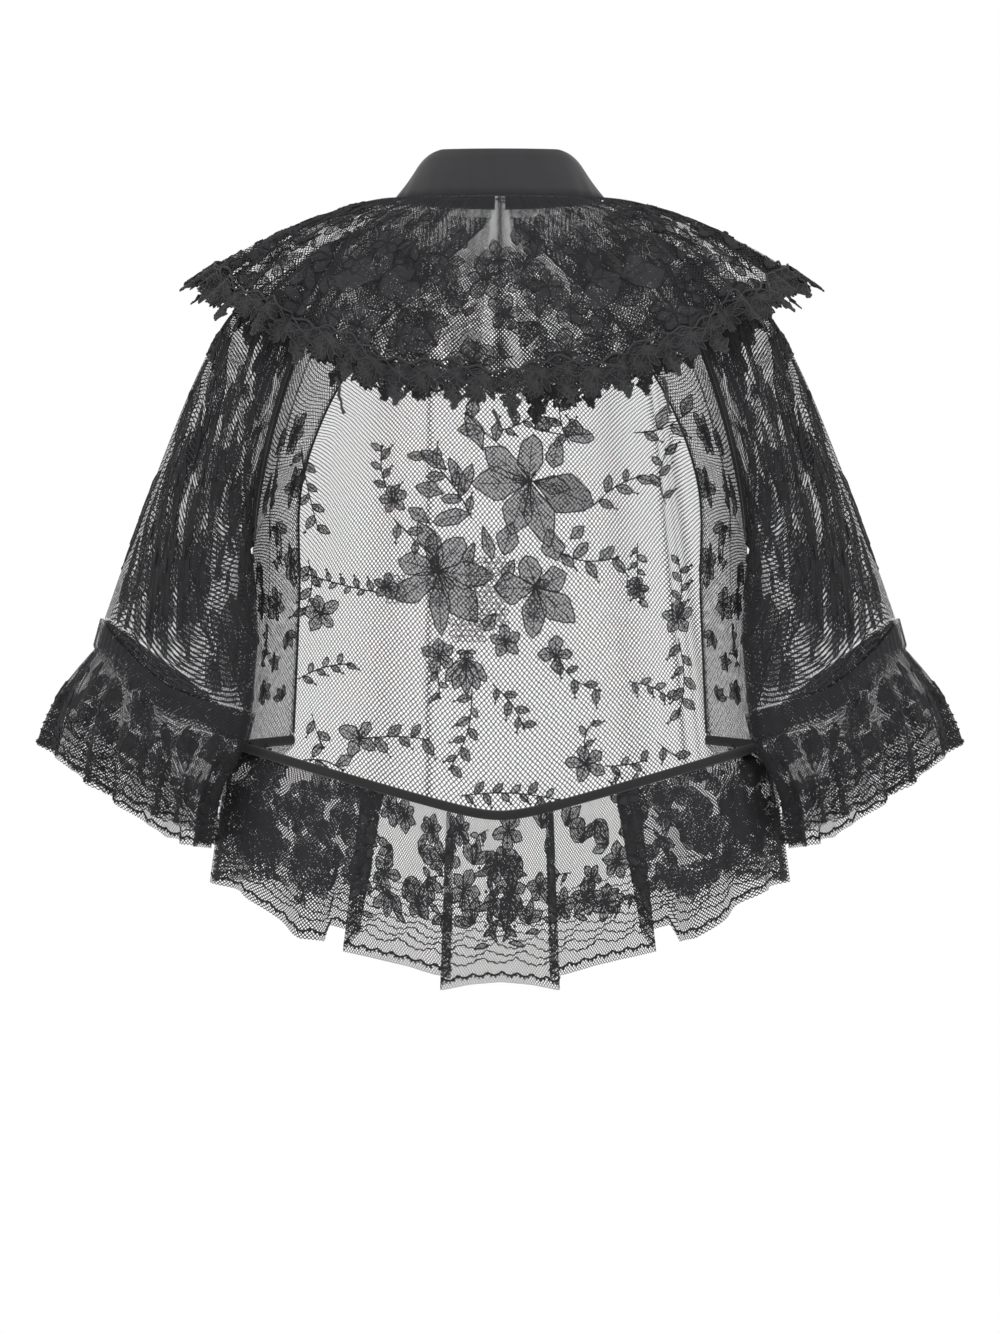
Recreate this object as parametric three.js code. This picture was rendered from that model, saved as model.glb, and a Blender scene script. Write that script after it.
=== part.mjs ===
// A short lace capelet: stand collar, gathered yoke ruffle with corded trim, open fronts, bell sleeves with
// elastic cuffs and ruffles, and a bound hem with a flounce. Millimetres, +Z up, the wearer faces +Y, and the
// origin is the centre of the neck opening at the height of the collar seam at the back.
import * as THREE from "three";

// ---------------------------------------------------------------- driving dimensions
const NECK = { halfWidth: 75, halfDepth: 62, frontDrop: 5 };
const COLLAR = {
  backHeight: 34,
  topHalfWidth: 62,
  topHalfDepth: 53,
  sideDrop: 18,
  frontDrop: 0,
  endAngle: 177,
};
const COLLAR_LAYER = { cloth: 0.9, stiffener: 0.7, gap: 0.9 };
const YOKE = { halfWidth: 217, halfDepth: 128, sideZ: -62, fall: 82, endAngle: 176 };
const TRIM = { from: 0.88, to: 1.1, standOff: 2.6, thickness: 1.8 };
const HEM = { halfWidth: 187, halfDepth: 114, sideZ: -395, backFall: 49, rounding: 22 };
const FLOUNCE = { halfWidth: 211, halfDepth: 144, backZ: -562, sideRise: 70, power: 1.6 };
const PIPING = { height: 7, thickness: 2.6, gap: 1.2 };
const SEAM = { width: 2.4, thickness: 2, gap: 4 };
const LACE = 0.8;
const FRONT_EDGE = { share: 0.05, gapShare: 0.022, thickness: 1.6 };
const CUFF = {
  bandHeight: 23,
  wall: 0.8,
  spread: 4.4,
  elasticHeight: 17,
  elasticThickness: 1,
  ruffleGap: 1,
};
const WIRE = { standOff: 6.1, radius: 0.5, reach: 9, loopHalfWidth: 2.4, bend: 1.5 };
const HOOK_HEIGHTS = [9, 1];

// Places along the sides, given for the -X side and mirrored for the other.
const SHOULDER_TIP = [-108, -2, -26];
const UNDERARM = [-178, -4, -248];
const ARMHOLE_BACK = [-157, -66, -140];
const ARMHOLE_FRONT = [-157, 54, -140];
const SIDE_HEM = [-187, -2, -395];
const FREE_EDGE = [
  [-6, 67, -12],
  [-101, 91, -108],
  [-143, 73, -200],
  [-146, 70, -285],
  [-148, 68, -338],
  [-150, 67, -386.5],
];
const BACK_LINE = [
  [0, -65, -2],
  [0, -92, -42],
  [0, -108, -100],
  [0, -115, -200],
  [0, -116, -320],
  [0, -114, -444],
];
// Four lengthwise lines of the sleeve: over the shoulder, down the back, under the arm, down the front.
const SLEEVE_LINES = {
  top: [SHOULDER_TIP, [-150, -1, -50], [-190, 0, -80], [-212, 0, -118], [-248, 4, -204], [-285, 8, -304]],
  back: [ARMHOLE_BACK, [-178, -72, -165], [-200, -78, -215], [-222, -77, -275], [-238, -72, -350]],
  under: [UNDERARM, [-184, -4, -260], [-189, -5, -290], [-193, -5, -330], [-195, -6, -370]],
  front: [ARMHOLE_FRONT, [-180, 60, -165], [-208, 68, -212], [-232, 73, -268], [-250, 74, -328]],
};
// The four matching places of the cuff ruffle's lower edge.
const RUFFLE_FOOT = {
  top: [-325, 12, -398],
  back: [-243, -98, -456],
  under: [-216, -8, -460],
  front: [-290, 92, -428],
};
// The lower sleeve bulges behind the body between its back and under lines, by this much along X and Y.
const SLEEVE_CORNER = { x: 26, y: -9 };
const SLEEVE_CAP_END = 0.4;
const SLEEVE_START = 0.44;
// The fronts are split at this height (as a share of their length) and across the side, where they swing.
const FRONT_SPLIT = 0.48;
const FRONT_SIDE_SHARE = 0.56;

const COLOURS = {
  cloth: 0x2a2a2c,
  lace: 0x17171a,
  cord: 0x121214,
  metal: 0x2c2c30,
  elastic: 0x1c1c1e,
  stiff: 0x333335,
};

// ---------------------------------------------------------------- small helpers
const rad = THREE.MathUtils.degToRad;
const { lerp, smoothstep } = THREE.MathUtils;
const point = (list) => new THREE.Vector3(...list);
const curveThrough = (places) => new THREE.CatmullRomCurve3(places.map(point), false, "centripetal");
const mix = (a, b, share) => a.clone().lerp(b, share);

function material(colour, roughness, metalness = 0) {
  return new THREE.MeshStandardMaterial({ color: colour, roughness, metalness });
}

// Turns a (u, v) surface into a closed plate of the given thickness. With closed = true, u runs round a ring.
function plate(surface, uSteps, vSteps, thickness, closed = false) {
  const step = 1e-3;
  const columns = closed ? uSteps : uSteps + 1;
  const rows = vSteps + 1;
  const positions = [];
  const addSide = (offset) => {
    for (let i = 0; i < columns; i += 1) {
      for (let j = 0; j < rows; j += 1) {
        const u = i / uSteps;
        const v = j / vSteps;
        const back = closed ? u - step : Math.max(0, u - step);
        const ahead = closed ? u + step : Math.min(1, u + step);
        const alongU = surface(ahead, v).sub(surface(back, v));
        const alongV = surface(u, Math.min(1, v + step)).sub(surface(u, Math.max(0, v - step)));
        const normal = alongU.cross(alongV).normalize();
        positions.push(...surface(u, v).addScaledVector(normal, offset).toArray());
      }
    }
  };
  addSide(thickness / 2);
  addSide(-thickness / 2);
  const far = columns * rows;
  const at = (i, j) => (i % columns) * rows + j;
  const triangles = [];
  const quad = (a, b, c, d) => triangles.push(a, b, c, a, c, d);
  for (let i = 0; i < uSteps; i += 1) {
    for (let j = 0; j < vSteps; j += 1) {
      const [a, b, c, d] = [at(i, j), at(i + 1, j), at(i + 1, j + 1), at(i, j + 1)];
      quad(a, b, c, d);
      // The far side is cut along the same diagonal, so a twisted cell keeps its thickness.
      quad(a + far, d + far, c + far, b + far);
    }
    quad(at(i + 1, 0), at(i, 0), at(i, 0) + far, at(i + 1, 0) + far);
    quad(at(i, vSteps), at(i + 1, vSteps), at(i + 1, vSteps) + far, at(i, vSteps) + far);
  }
  if (!closed) {
    for (let j = 0; j < vSteps; j += 1) {
      quad(at(0, j), at(0, j + 1), at(0, j + 1) + far, at(0, j) + far);
      quad(at(uSteps, j + 1), at(uSteps, j), at(uSteps, j) + far, at(uSteps, j + 1) + far);
    }
  }
  const geometry = new THREE.BufferGeometry();
  geometry.setAttribute("position", new THREE.Float32BufferAttribute(positions, 3));
  geometry.setIndex(facingOut(positions, triangles));
  geometry.computeVertexNormals();
  return geometry;
}

// Reverses the triangles where they enclose a negative volume.
function facingOut(positions, triangles) {
  let volume = 0;
  const corner = (index) => new THREE.Vector3().fromArray(positions, index * 3);
  for (let i = 0; i < triangles.length; i += 3) {
    const [a, b, c] = triangles.slice(i, i + 3).map(corner);
    volume += a.dot(b.cross(c));
  }
  return volume > 0 ? triangles : triangles.reverse();
}

// The same surface on the other side of the body.
const mirrored = (surface) => (u, v) => surface(u, v).multiply(new THREE.Vector3(-1, 1, 1));

// A surface moved off itself along its own normal.
function raised(surface, distance) {
  const step = 1e-3;
  return (u, v) => {
    const alongU = surface(u + step, v).sub(surface(u - step, v));
    const alongV = surface(u, v + step).sub(surface(u, v - step));
    const outward = alongU.cross(alongV).normalize();
    const centre = surface(u, v);
    if (outward.dot(new THREE.Vector3(centre.x, centre.y, 60)) < 0) outward.negate();
    return centre.addScaledVector(outward, distance);
  };
}

function wire(places) {
  const section = new THREE.Shape().absarc(0, 0, WIRE.radius, 0, Math.PI * 2);
  const path = new THREE.CatmullRomCurve3(places.map(point), false, "centripetal");
  const options = { steps: 14, curveSegments: 6, bevelEnabled: false, extrudePath: path };
  return new THREE.ExtrudeGeometry(section, options);
}

// ---------------------------------------------------------------- neck and collar
// Angles run round the neck from the back centre (0) over the -X side (90) to the front centre (180).
function neckPoint(angle, outset = 0) {
  const turn = rad(angle);
  const drop = NECK.frontDrop * ((1 - Math.cos(turn)) / 2) ** 3;
  const x = -(NECK.halfWidth + outset) * Math.sin(turn);
  return new THREE.Vector3(x, -(NECK.halfDepth + outset) * Math.cos(turn), -drop);
}

function collarPoint(angle, height) {
  const turn = rad(angle);
  const round = Math.abs(angle);
  const sideDrop = COLLAR.sideDrop * smoothstep(round, 40, 90);
  const frontDrop = COLLAR.frontDrop * smoothstep(round, 80, 180);
  const top = new THREE.Vector3(
    -COLLAR.topHalfWidth * Math.sin(turn),
    -COLLAR.topHalfDepth * Math.cos(turn),
    COLLAR.backHeight - sideDrop - frontDrop,
  );
  return mix(neckPoint(angle), top, height);
}

function collarLayer(inset, thickness, margin) {
  const end = COLLAR.endAngle - margin;
  const surface = (u, v) => collarPoint(lerp(-end, end, u), lerp(0.02 + margin / 40, 1 - margin / 40, v));
  return plate(raised(surface, -inset), 28, 2, thickness);
}

// How far forward the hooks lie: just behind the collar's front, which leans back as it rises.
function wireDepth(z) {
  const low = collarPoint(180, 0);
  const high = collarPoint(180, 1);
  return lerp(low.y, high.y, (z - low.z) / (high.z - low.z)) - WIRE.standOff;
}

// One hook and one eye lie flat behind the collar's two ends and meet at the front centre.
function hookPlaces(z) {
  const y = wireDepth(z);
  const { reach, bend } = WIRE;
  return [
    [-reach, y, z],
    [-reach / 3, y, z],
    [bend, y, z],
    [bend * 2, y - bend, z],
    [bend, y - bend * 2, z],
    [-bend / 3, y - bend * 2, z],
  ];
}

function eyePlaces(z) {
  const y = wireDepth(z) - WIRE.bend;
  const { reach, loopHalfWidth: half } = WIRE;
  const tip = -1.4;
  return [
    [reach, y, z + half],
    [half, y, z + half],
    [tip + 0.6, y, z + half * 0.8],
    [tip, y, z],
    [tip + 0.6, y, z - half * 0.8],
    [half, y, z - half],
    [reach, y, z - half],
  ];
}

// ---------------------------------------------------------------- yoke ruffle and trim
// share runs from the collar seam (0) to the ruffle's edge (1), and a little past it for the trim.
function yokePoint(angle, share) {
  const turn = rad(angle);
  const inner = neckPoint(angle, 3);
  const edgeZ = YOKE.sideZ - YOKE.fall * Math.cos(turn) ** 2;
  const acrossBack = Math.cos(turn) ** 2;
  const outward = lerp(share, 1 - Math.abs(1 - share) ** 1.9 * Math.sign(1 - share), acrossBack);
  const x = lerp(inner.x, -YOKE.halfWidth * Math.sin(turn), lerp(share, outward, 0.35));
  const y = lerp(inner.y, -YOKE.halfDepth * Math.cos(turn), outward);
  const fall = share ** lerp(1.6, 1.3, acrossBack);
  return new THREE.Vector3(x, y, lerp(inner.z - 1, edgeZ, fall));
}

const yokeStrip = (from, to, low, high) => (u, v) => yokePoint(lerp(from, to, u), lerp(low, high, v));

// ---------------------------------------------------------------- body: back, fronts, armholes
// A ring through four places: top, back, under, front (turn 0, 90, 180, 270).
function ringPoint(places, turnDegrees) {
  const { top, back, under, front } = places;
  const turn = rad(turnDegrees);
  const centre = top.clone().add(under).add(back).add(front).multiplyScalar(0.25);
  const tall = top.clone().sub(under).multiplyScalar(0.5 * Math.cos(turn));
  const deep = back.clone().sub(front).multiplyScalar(0.5 * Math.sin(turn));
  const twist = top.clone().add(under).sub(back).sub(front).multiplyScalar(0.25 * Math.cos(2 * turn));
  return centre.add(tall).add(deep).add(twist);
}

const ARMHOLE = {
  top: point(SHOULDER_TIP),
  back: point(ARMHOLE_BACK),
  under: point(UNDERARM),
  front: point(ARMHOLE_FRONT),
};

// Down the edge of a body panel: half of the armhole, then the side seam.
// facing is 1 for the back and -1 for the front.
function sideLine(share, facing) {
  const half = 0.5;
  const inset = new THREE.Vector3(SEAM.gap * (1 - smoothstep(share, 0.5, 0.58)), 0, 0);
  if (share < half) return ringPoint(ARMHOLE, facing * 180 * (share / half)).add(inset);
  const place = mix(ARMHOLE.under, point(SIDE_HEM), (share - half) / half);
  const apart = new THREE.Vector3(0, -facing * 0.8, 0);
  return place.add(inset).add(apart.multiplyScalar(smoothstep(share, half, 0.6)));
}

function hemPoint(angle, outset = 0) {
  const turn = rad(angle);
  const halfWidth = HEM.halfWidth + outset;
  const x = -halfWidth * Math.sin(turn);
  const climb = (distance) => Math.hypot(distance, HEM.rounding) - HEM.rounding;
  const backZ = HEM.sideZ - HEM.backFall * (1 - climb(x) / climb(halfWidth));
  const z = Math.abs(angle) > 90 ? frontHemZ(x) : backZ;
  return new THREE.Vector3(x, -(HEM.halfDepth + outset) * Math.cos(turn), z);
}

// The front hem rises a little towards the free edges.
const frontHemZ = (x) => HEM.sideZ + 0.1 * (HEM.halfWidth - Math.abs(x));

// From the neck over the shoulder seam to the shoulder tip. neckShare is the part that lies on the neck.
function topLine(share, fromAngle, toAngle) {
  const neckShare = 0.55;
  const seamGap = new THREE.Vector3(0, fromAngle < 90 ? -0.8 : 0.8, 0);
  const underCollar = new THREE.Vector3(0, 0, -6);
  if (share < neckShare) {
    return neckPoint(lerp(fromAngle, toAngle, share / neckShare), -1).add(underCollar);
  }
  const start = neckPoint(toAngle, -1).add(underCollar);
  const end = ARMHOLE.top.clone().add(new THREE.Vector3(SEAM.gap, 0, 0));
  return mix(start, end, (share - neckShare) / (1 - neckShare)).add(seamGap);
}

// A patch between four edge lines; across runs 0..1 from the first side line to the second. ease is the share
// of the second side line's shape that a place across the patch takes, and fade is how fast the curves of the
// top and low edges die away from them.
function patch({ firstSide, secondSide, topEdge, lowEdge, ease, fade }) {
  const bow = (edge, across) => edge(across).sub(mix(edge(0), edge(1), ease(across)));
  return (across, down) => {
    const place = mix(firstSide(down), secondSide(down), ease(across));
    place.addScaledVector(bow(topEdge, across), (1 - down) ** fade);
    return place.addScaledVector(bow(lowEdge, across), down ** fade);
  };
}

const backLine = curveThrough(BACK_LINE);
const liftOffHem = new THREE.Vector3(0, 0, PIPING.height / 2 + PIPING.gap);

const halfBack = patch({
  firstSide: (down) => backLine.getPoint(down).addScaledVector(liftOffHem, down),
  secondSide: (down) => sideLine(down, 1).addScaledVector(liftOffHem, smoothstep(down, 0.8, 1)),
  topEdge: (across) => topLine(across, 0, 90),
  lowEdge: (across) => hemPoint(across * 89.4).add(liftOffHem),
  ease: (across) => 1 - Math.cos((across * Math.PI) / 2),
  fade: 1,
});

function backPoint(u, v) {
  const side = u * 2 - 1;
  const place = halfBack(Math.abs(side), v);
  if (side > 0) place.x = -place.x;
  return place;
}

const freeEdge = curveThrough(FREE_EDGE);
const freeEdgeAngle = THREE.MathUtils.radToDeg(Math.PI - Math.asin(-FREE_EDGE.at(-1)[0] / HEM.halfWidth));

// The left front: across runs from the free edge (0) to the armhole and side seam (1).
const frontPoint = patch({
  firstSide: (down) => freeEdge.getPoint(down),
  secondSide: (down) => sideLine(down, -1).addScaledVector(liftOffHem, smoothstep(down, 0.8, 1)),
  topEdge: (across) => topLine(across, 174, 90),
  lowEdge: (across) => hemPoint(lerp(freeEdgeAngle, 90.6, across)).add(liftOffHem),
  ease: (across) => across,
  fade: 2.5,
});

const frontPart = (near, far, high, low) => (u, v) => frontPoint(lerp(near, far, u), lerp(high, low, v));

// The binding is the strip next to the free edge; the lace starts just inside it.
const bindingStrip = (high, low) => (u, v) => frontPoint(v * FRONT_EDGE.share, lerp(high, low, u));
const laceStart = FRONT_EDGE.share + FRONT_EDGE.gapShare;

function armholeSeam(u, v) {
  return ringPoint(ARMHOLE, u * 360).add(new THREE.Vector3((v - 0.5) * SEAM.width, 0, 0));
}

// ---------------------------------------------------------------- sleeves and cuffs
const sleeveCurves = Object.fromEntries(
  Object.entries(SLEEVE_LINES).map(([side, places]) => [side, curveThrough(places)]),
);

function sleevePoint(turnDegrees, share) {
  const places = Object.fromEntries(
    Object.entries(sleeveCurves).map(([side, curve]) => [side, curve.getPoint(Math.min(1, share))]),
  );
  const place = ringPoint(places, turnDegrees);
  place.x -= SEAM.gap * Math.max(0, 1 - share / 0.1);
  return place.add(cornerPush(turnDegrees, share));
}

const sleevePart = (high, low) => (u, v) => sleevePoint(u * 360, lerp(high, low, v));

const cuffRing = Object.fromEntries(
  Object.entries(sleeveCurves).map(([side, curve]) => [side, curve.getPoint(1)]),
);
const ruffleRing = Object.fromEntries(
  Object.entries(RUFFLE_FOOT).map(([side, place]) => [side, point(place)]),
);

// The bulge at the sleeve's inner back corner, full near the cuff (share 1) and gone at the sleeve's head.
function cornerPush(turnDegrees, share) {
  const turn = THREE.MathUtils.euclideanModulo(turnDegrees, 360);
  const corner = turn > 90 && turn < 180 ? Math.sin(rad(2 * turn)) ** 2 : 0;
  const amount = corner * smoothstep(share, 0.15, 0.8);
  return new THREE.Vector3(SLEEVE_CORNER.x * amount, SLEEVE_CORNER.y * amount, 0);
}

const cuffEdge = (turnDegrees) => ringPoint(cuffRing, turnDegrees).add(cornerPush(turnDegrees, 1));

// Down from the cuff seam towards the ruffle's foot by a distance, then outward from the arm by another.
function cuffPoint(turnDegrees, down, outward) {
  const start = cuffEdge(turnDegrees);
  const along = ringPoint(ruffleRing, turnDegrees).sub(start).normalize();
  along.lerp(new THREE.Vector3(-0.2, 0, -1), 0.7).normalize();
  const round = cuffEdge(turnDegrees + 2).sub(cuffEdge(turnDegrees - 2));
  const away = round.cross(along).normalize();
  return start.addScaledVector(along, down).addScaledVector(away, outward);
}

// The casing is folded round the elastic: down the outside, under it, and up the inside.
function cuffCasing(u, v) {
  const turn = u * 360;
  const top = 1.4;
  const half = CUFF.spread / 2;
  const low = CUFF.bandHeight - half;
  if (v < 0.4) return cuffPoint(turn, lerp(top, low, v / 0.4), half);
  if (v > 0.6) return cuffPoint(turn, lerp(low, top, (v - 0.6) / 0.4), -half);
  const bend = ((v - 0.4) / 0.2) * Math.PI;
  return cuffPoint(turn, low + Math.sin(bend) * half, Math.cos(bend) * half);
}

function cuffElastic(u, v) {
  return cuffPoint(u * 360, 2.2 + v * CUFF.elasticHeight, 0);
}

function cuffRuffle(u, v) {
  const turn = u * 360;
  const start = cuffPoint(turn, CUFF.bandHeight + CUFF.ruffleGap, 0);
  const foot = ringPoint(ruffleRing, turn);
  const place = mix(start, foot, v);
  const away = foot.clone().sub(start).setZ(0).normalize();
  return place.addScaledVector(away, 5 * Math.sin(v * Math.PI));
}

// ---------------------------------------------------------------- hem
function piping(from, to) {
  return (u, v) => hemPoint(lerp(from, to, u)).add(new THREE.Vector3(0, 0, (0.5 - v) * PIPING.height));
}

// gapAtFoot is how much further round the piece starts at its foot than at the hem.
function flounce(from, to, gapAtFoot = 0) {
  return (u, v) => {
    const angle = lerp(from + gapAtFoot * v, to, u);
    const turn = rad(angle);
    const top = hemPoint(angle, 0).add(new THREE.Vector3(0, 0, -PIPING.height / 2 - PIPING.gap));
    const x = -FLOUNCE.halfWidth * Math.sin(turn);
    const rise = FLOUNCE.sideRise * Math.abs(x / FLOUNCE.halfWidth) ** FLOUNCE.power;
    const footZ = FLOUNCE.backZ + (Math.abs(angle) > 90 ? FLOUNCE.sideRise : rise);
    const foot = new THREE.Vector3(x, -FLOUNCE.halfDepth * Math.cos(turn), footZ);
    return mix(top, foot, v);
  };
}

// The hem breaks where each front starts to swing. The flounce flares away from the swing's axis, so its gap
// grows towards the foot.
const SWING = { angle: 105, gap: 1.4, gapAtFoot: 5 };

// ---------------------------------------------------------------- assembly
const capelet = new THREE.Group();

function add(name, geometry, look) {
  const mesh = new THREE.Mesh(geometry, look);
  mesh.name = name;
  capelet.add(mesh);
}

const cloth = () => material(COLOURS.cloth, 0.92);
const lace = () => material(COLOURS.lace, 0.85);
const cord = () => material(COLOURS.cord, 0.75);

const { cloth: clothThickness, stiffener, gap } = COLLAR_LAYER;
const stiffInset = clothThickness / 2 + gap + stiffener / 2;
add("collar_outer", collarLayer(0, clothThickness, 0), cloth());
add("collar_interfacing", collarLayer(stiffInset, stiffener, 1.5), material(COLOURS.stiff, 0.95));
add("collar_facing", collarLayer(2 * stiffInset, clothThickness, 0), cloth());
HOOK_HEIGHTS.forEach((height, index) => {
  add(`collar_hook_${index + 1}`, wire(hookPlaces(height)), material(COLOURS.metal, 0.4, 0.9));
  add(`collar_eye_${index + 1}`, wire(eyePlaces(height)), material(COLOURS.metal, 0.4, 0.9));
});

const sideBreak = 92;
add("yoke_ruffle_back", plate(yokeStrip(-sideBreak, sideBreak, 0, 1), 24, 4, LACE), lace());
add("back_panel", plate(backPoint, 16, 14, LACE), lace());
add("hem_binding_back", plate(piping(-SWING.angle, SWING.angle), 24, 1, PIPING.thickness), cloth());
add("hem_flounce_back", plate(flounce(-SWING.angle, SWING.angle), 28, 3, LACE), lace());
const backTrim = raised(yokeStrip(-sideBreak, sideBreak, TRIM.from, TRIM.to), TRIM.standOff);
add("guipure_trim_back", plate(backTrim, 28, 1, TRIM.thickness), cord());

for (const [side, put] of [
  ["left", (surface) => surface],
  ["right", mirrored],
]) {
  const yokeFront = yokeStrip(sideBreak + 0.5, YOKE.endAngle, 0, 1);
  const trimFront = raised(yokeStrip(sideBreak + 0.5, YOKE.endAngle, TRIM.from, TRIM.to), TRIM.standOff);
  add(`yoke_ruffle_${side}`, plate(put(yokeFront), 13, 4, LACE), lace());
  add(`guipure_trim_${side}`, plate(put(trimFront), 14, 1, TRIM.thickness), cord());
  const shoulderLace = frontPart(laceStart, 1, 0, FRONT_SPLIT - 0.02);
  const sideLace = frontPart(FRONT_SIDE_SHARE + 0.02, 1, FRONT_SPLIT, 1);
  const openLace = frontPart(laceStart, FRONT_SIDE_SHARE, FRONT_SPLIT, 1);
  add(`front_shoulder_${side}`, plate(put(shoulderLace), 8, 9, LACE), lace());
  add(`front_side_${side}`, plate(put(sideLace), 4, 5, LACE), lace());
  add(`front_panel_${side}`, plate(put(openLace), 5, 5, LACE), lace());
  const upperEdge = bindingStrip(0.02, FRONT_SPLIT - 0.02);
  const lowerEdge = bindingStrip(FRONT_SPLIT, 0.985);
  add(`front_edge_upper_${side}`, plate(put(upperEdge), 9, 1, FRONT_EDGE.thickness), cloth());
  add(`front_edge_lower_${side}`, plate(put(lowerEdge), 5, 1, FRONT_EDGE.thickness), cloth());
  add(`armhole_seam_${side}`, plate(put(armholeSeam), 24, 1, SEAM.thickness, true), cloth());
  add(`sleeve_cap_${side}`, plate(put(sleevePart(0, SLEEVE_CAP_END)), 24, 3, LACE, true), lace());
  add(`sleeve_${side}`, plate(put(sleevePart(SLEEVE_START, 1)), 24, 4, LACE, true), lace());
  add(`cuff_casing_${side}`, plate(put(cuffCasing), 20, 10, CUFF.wall, true), cloth());
  const elasticLook = material(COLOURS.elastic, 0.9);
  add(`cuff_elastic_${side}`, plate(put(cuffElastic), 20, 1, CUFF.elasticThickness, true), elasticLook);
  add(`cuff_ruffle_${side}`, plate(put(cuffRuffle), 24, 3, LACE, true), lace());
  const pipingFront = piping(SWING.angle + SWING.gap, freeEdgeAngle);
  const flounceFront = flounce(SWING.angle + SWING.gap, freeEdgeAngle, SWING.gapAtFoot);
  add(`hem_binding_${side}`, plate(put(pipingFront), 4, 1, PIPING.thickness), cloth());
  add(`hem_flounce_${side}`, plate(put(flounceFront), 4, 3, LACE), lace());
}

export default capelet;
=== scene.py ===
"""A short black lace capelet seen from behind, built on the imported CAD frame.

Shapes are worked out in millimetres and turned into metres when a mesh is made. Angles run round the body
from the back centre (0) over the -X side (90) to the front centre (180).
"""
import math
import random

import bpy
import numpy as np
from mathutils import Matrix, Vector
from mathutils.bvhtree import BVHTree


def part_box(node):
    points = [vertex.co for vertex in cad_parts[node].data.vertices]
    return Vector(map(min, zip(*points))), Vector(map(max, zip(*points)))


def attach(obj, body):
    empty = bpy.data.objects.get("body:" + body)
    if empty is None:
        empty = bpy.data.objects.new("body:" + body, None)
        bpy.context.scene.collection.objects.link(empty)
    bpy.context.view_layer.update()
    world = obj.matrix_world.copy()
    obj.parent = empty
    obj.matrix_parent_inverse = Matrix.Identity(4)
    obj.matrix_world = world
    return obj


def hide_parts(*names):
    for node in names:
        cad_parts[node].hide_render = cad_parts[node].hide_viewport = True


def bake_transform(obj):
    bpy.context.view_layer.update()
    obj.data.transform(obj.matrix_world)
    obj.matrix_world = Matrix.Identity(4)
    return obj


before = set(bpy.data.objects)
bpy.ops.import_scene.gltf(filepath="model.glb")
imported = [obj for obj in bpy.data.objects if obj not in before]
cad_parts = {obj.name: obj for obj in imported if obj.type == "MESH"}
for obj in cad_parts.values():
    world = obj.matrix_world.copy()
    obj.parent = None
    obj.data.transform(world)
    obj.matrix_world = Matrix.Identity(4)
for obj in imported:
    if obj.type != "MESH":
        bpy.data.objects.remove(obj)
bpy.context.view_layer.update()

# ------ driving dimensions
MM = 0.001
SIDES = (("left", 1.0), ("right", -1.0))


def box_mm(node):
    """The lowest and highest corner of a CAD node, in millimetres."""
    low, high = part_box(node)
    return np.array(low) / MM, np.array(high) / MM


COLLAR_HIGH = box_mm("collar_outer")[1]
FLOUNCE_LOW, FLOUNCE_HIGH = box_mm("hem_flounce_back")
YOKE_LOW, YOKE_HIGH = box_mm("yoke_ruffle_back")

NECK = dict(half_width=75.0, half_depth=62.0, front_drop=5.0)
COLLAR = dict(height=COLLAR_HIGH[2] - 0.3, top_half_width=62.0, top_half_depth=53.0, side_drop=18.0,
              end=177.0, mm_per_degree=1.2, thickness=4.4)
YOKE = dict(half_width=YOKE_HIGH[0], half_depth=-YOKE_LOW[1] - 0.4, side_z=-62.0, fall=82.0, end=176.0)
HEM = dict(half_width=187.0, half_depth=114.0, side_z=-395.0, back_fall=49.0, rounding=22.0)
FLOUNCE = dict(half_width=FLOUNCE_HIGH[0] - 0.3, half_depth=-FLOUNCE_LOW[1] - 0.4, back_z=-562.0,
               side_z=-493.0, side_rise=70.0, power=1.6, foot_half_width=211.0)

# Lines of the body in (x, y, z), on the -X side.
FREE_EDGE = [(-6, 67, -12), (-101, 91, -108), (-143, 73, -200), (-146, 70, -285), (-148, 68, -338),
             (-150, 67, -390)]
BACK_LINE = [(0, -65, -2), (0, -92, -42), (0, -108, -100), (0, -115, -200), (0, -116, -320), (0, -114, -444)]
SHOULDER_TIP = (-108, -2, -26)
UNDERARM = (-178, -4, -248)
ARMHOLE_BACK = (-157, -66, -140)
ARMHOLE_FRONT = (-157, 54, -140)
SIDE_HEM = (-187, -2, -395)
SLEEVE_LINES = dict(
    top=[SHOULDER_TIP, (-150, -1, -50), (-190, 0, -80), (-212, 0, -118), (-248, 4, -204), (-285, 8, -304)],
    back=[ARMHOLE_BACK, (-178, -72, -165), (-200, -78, -215), (-222, -77, -275), (-238, -72, -350)],
    under=[UNDERARM, (-184, -4, -260), (-189, -5, -290), (-193, -5, -330), (-195, -6, -370)],
    front=[ARMHOLE_FRONT, (-180, 60, -165), (-208, 68, -212), (-232, 73, -268), (-250, 74, -328)],
)
RUFFLE_FOOT = dict(top=(-325, 12, -398), back=(-243, -98, -456), under=(-216, -8, -460),
                   front=(-290, 92, -428))
SLEEVE_CORNER = (26.0, -9.0)     # how far the sleeve's lower back corner is pushed in x and in y
CUFF_BAND = 23.0                 # from the cuff seam to the head of the ruffle

BACK_SPAN = 374.0        # across the back at the hem
YOKE_GATHERS = (43, 11)  # how many soft folds, and the seed of their unevenness
NET_PITCH = 2.3          # the diamond net's mesh, across
NET_THREAD = 0.24        # share of the pitch that a thread takes
PETAL_PITCH = 1.15       # the closer mesh that fills a petal
CORD = 0.48              # radius of the fine outline cord
LIFT = 0.35              # how far the pattern stands off the net

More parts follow.
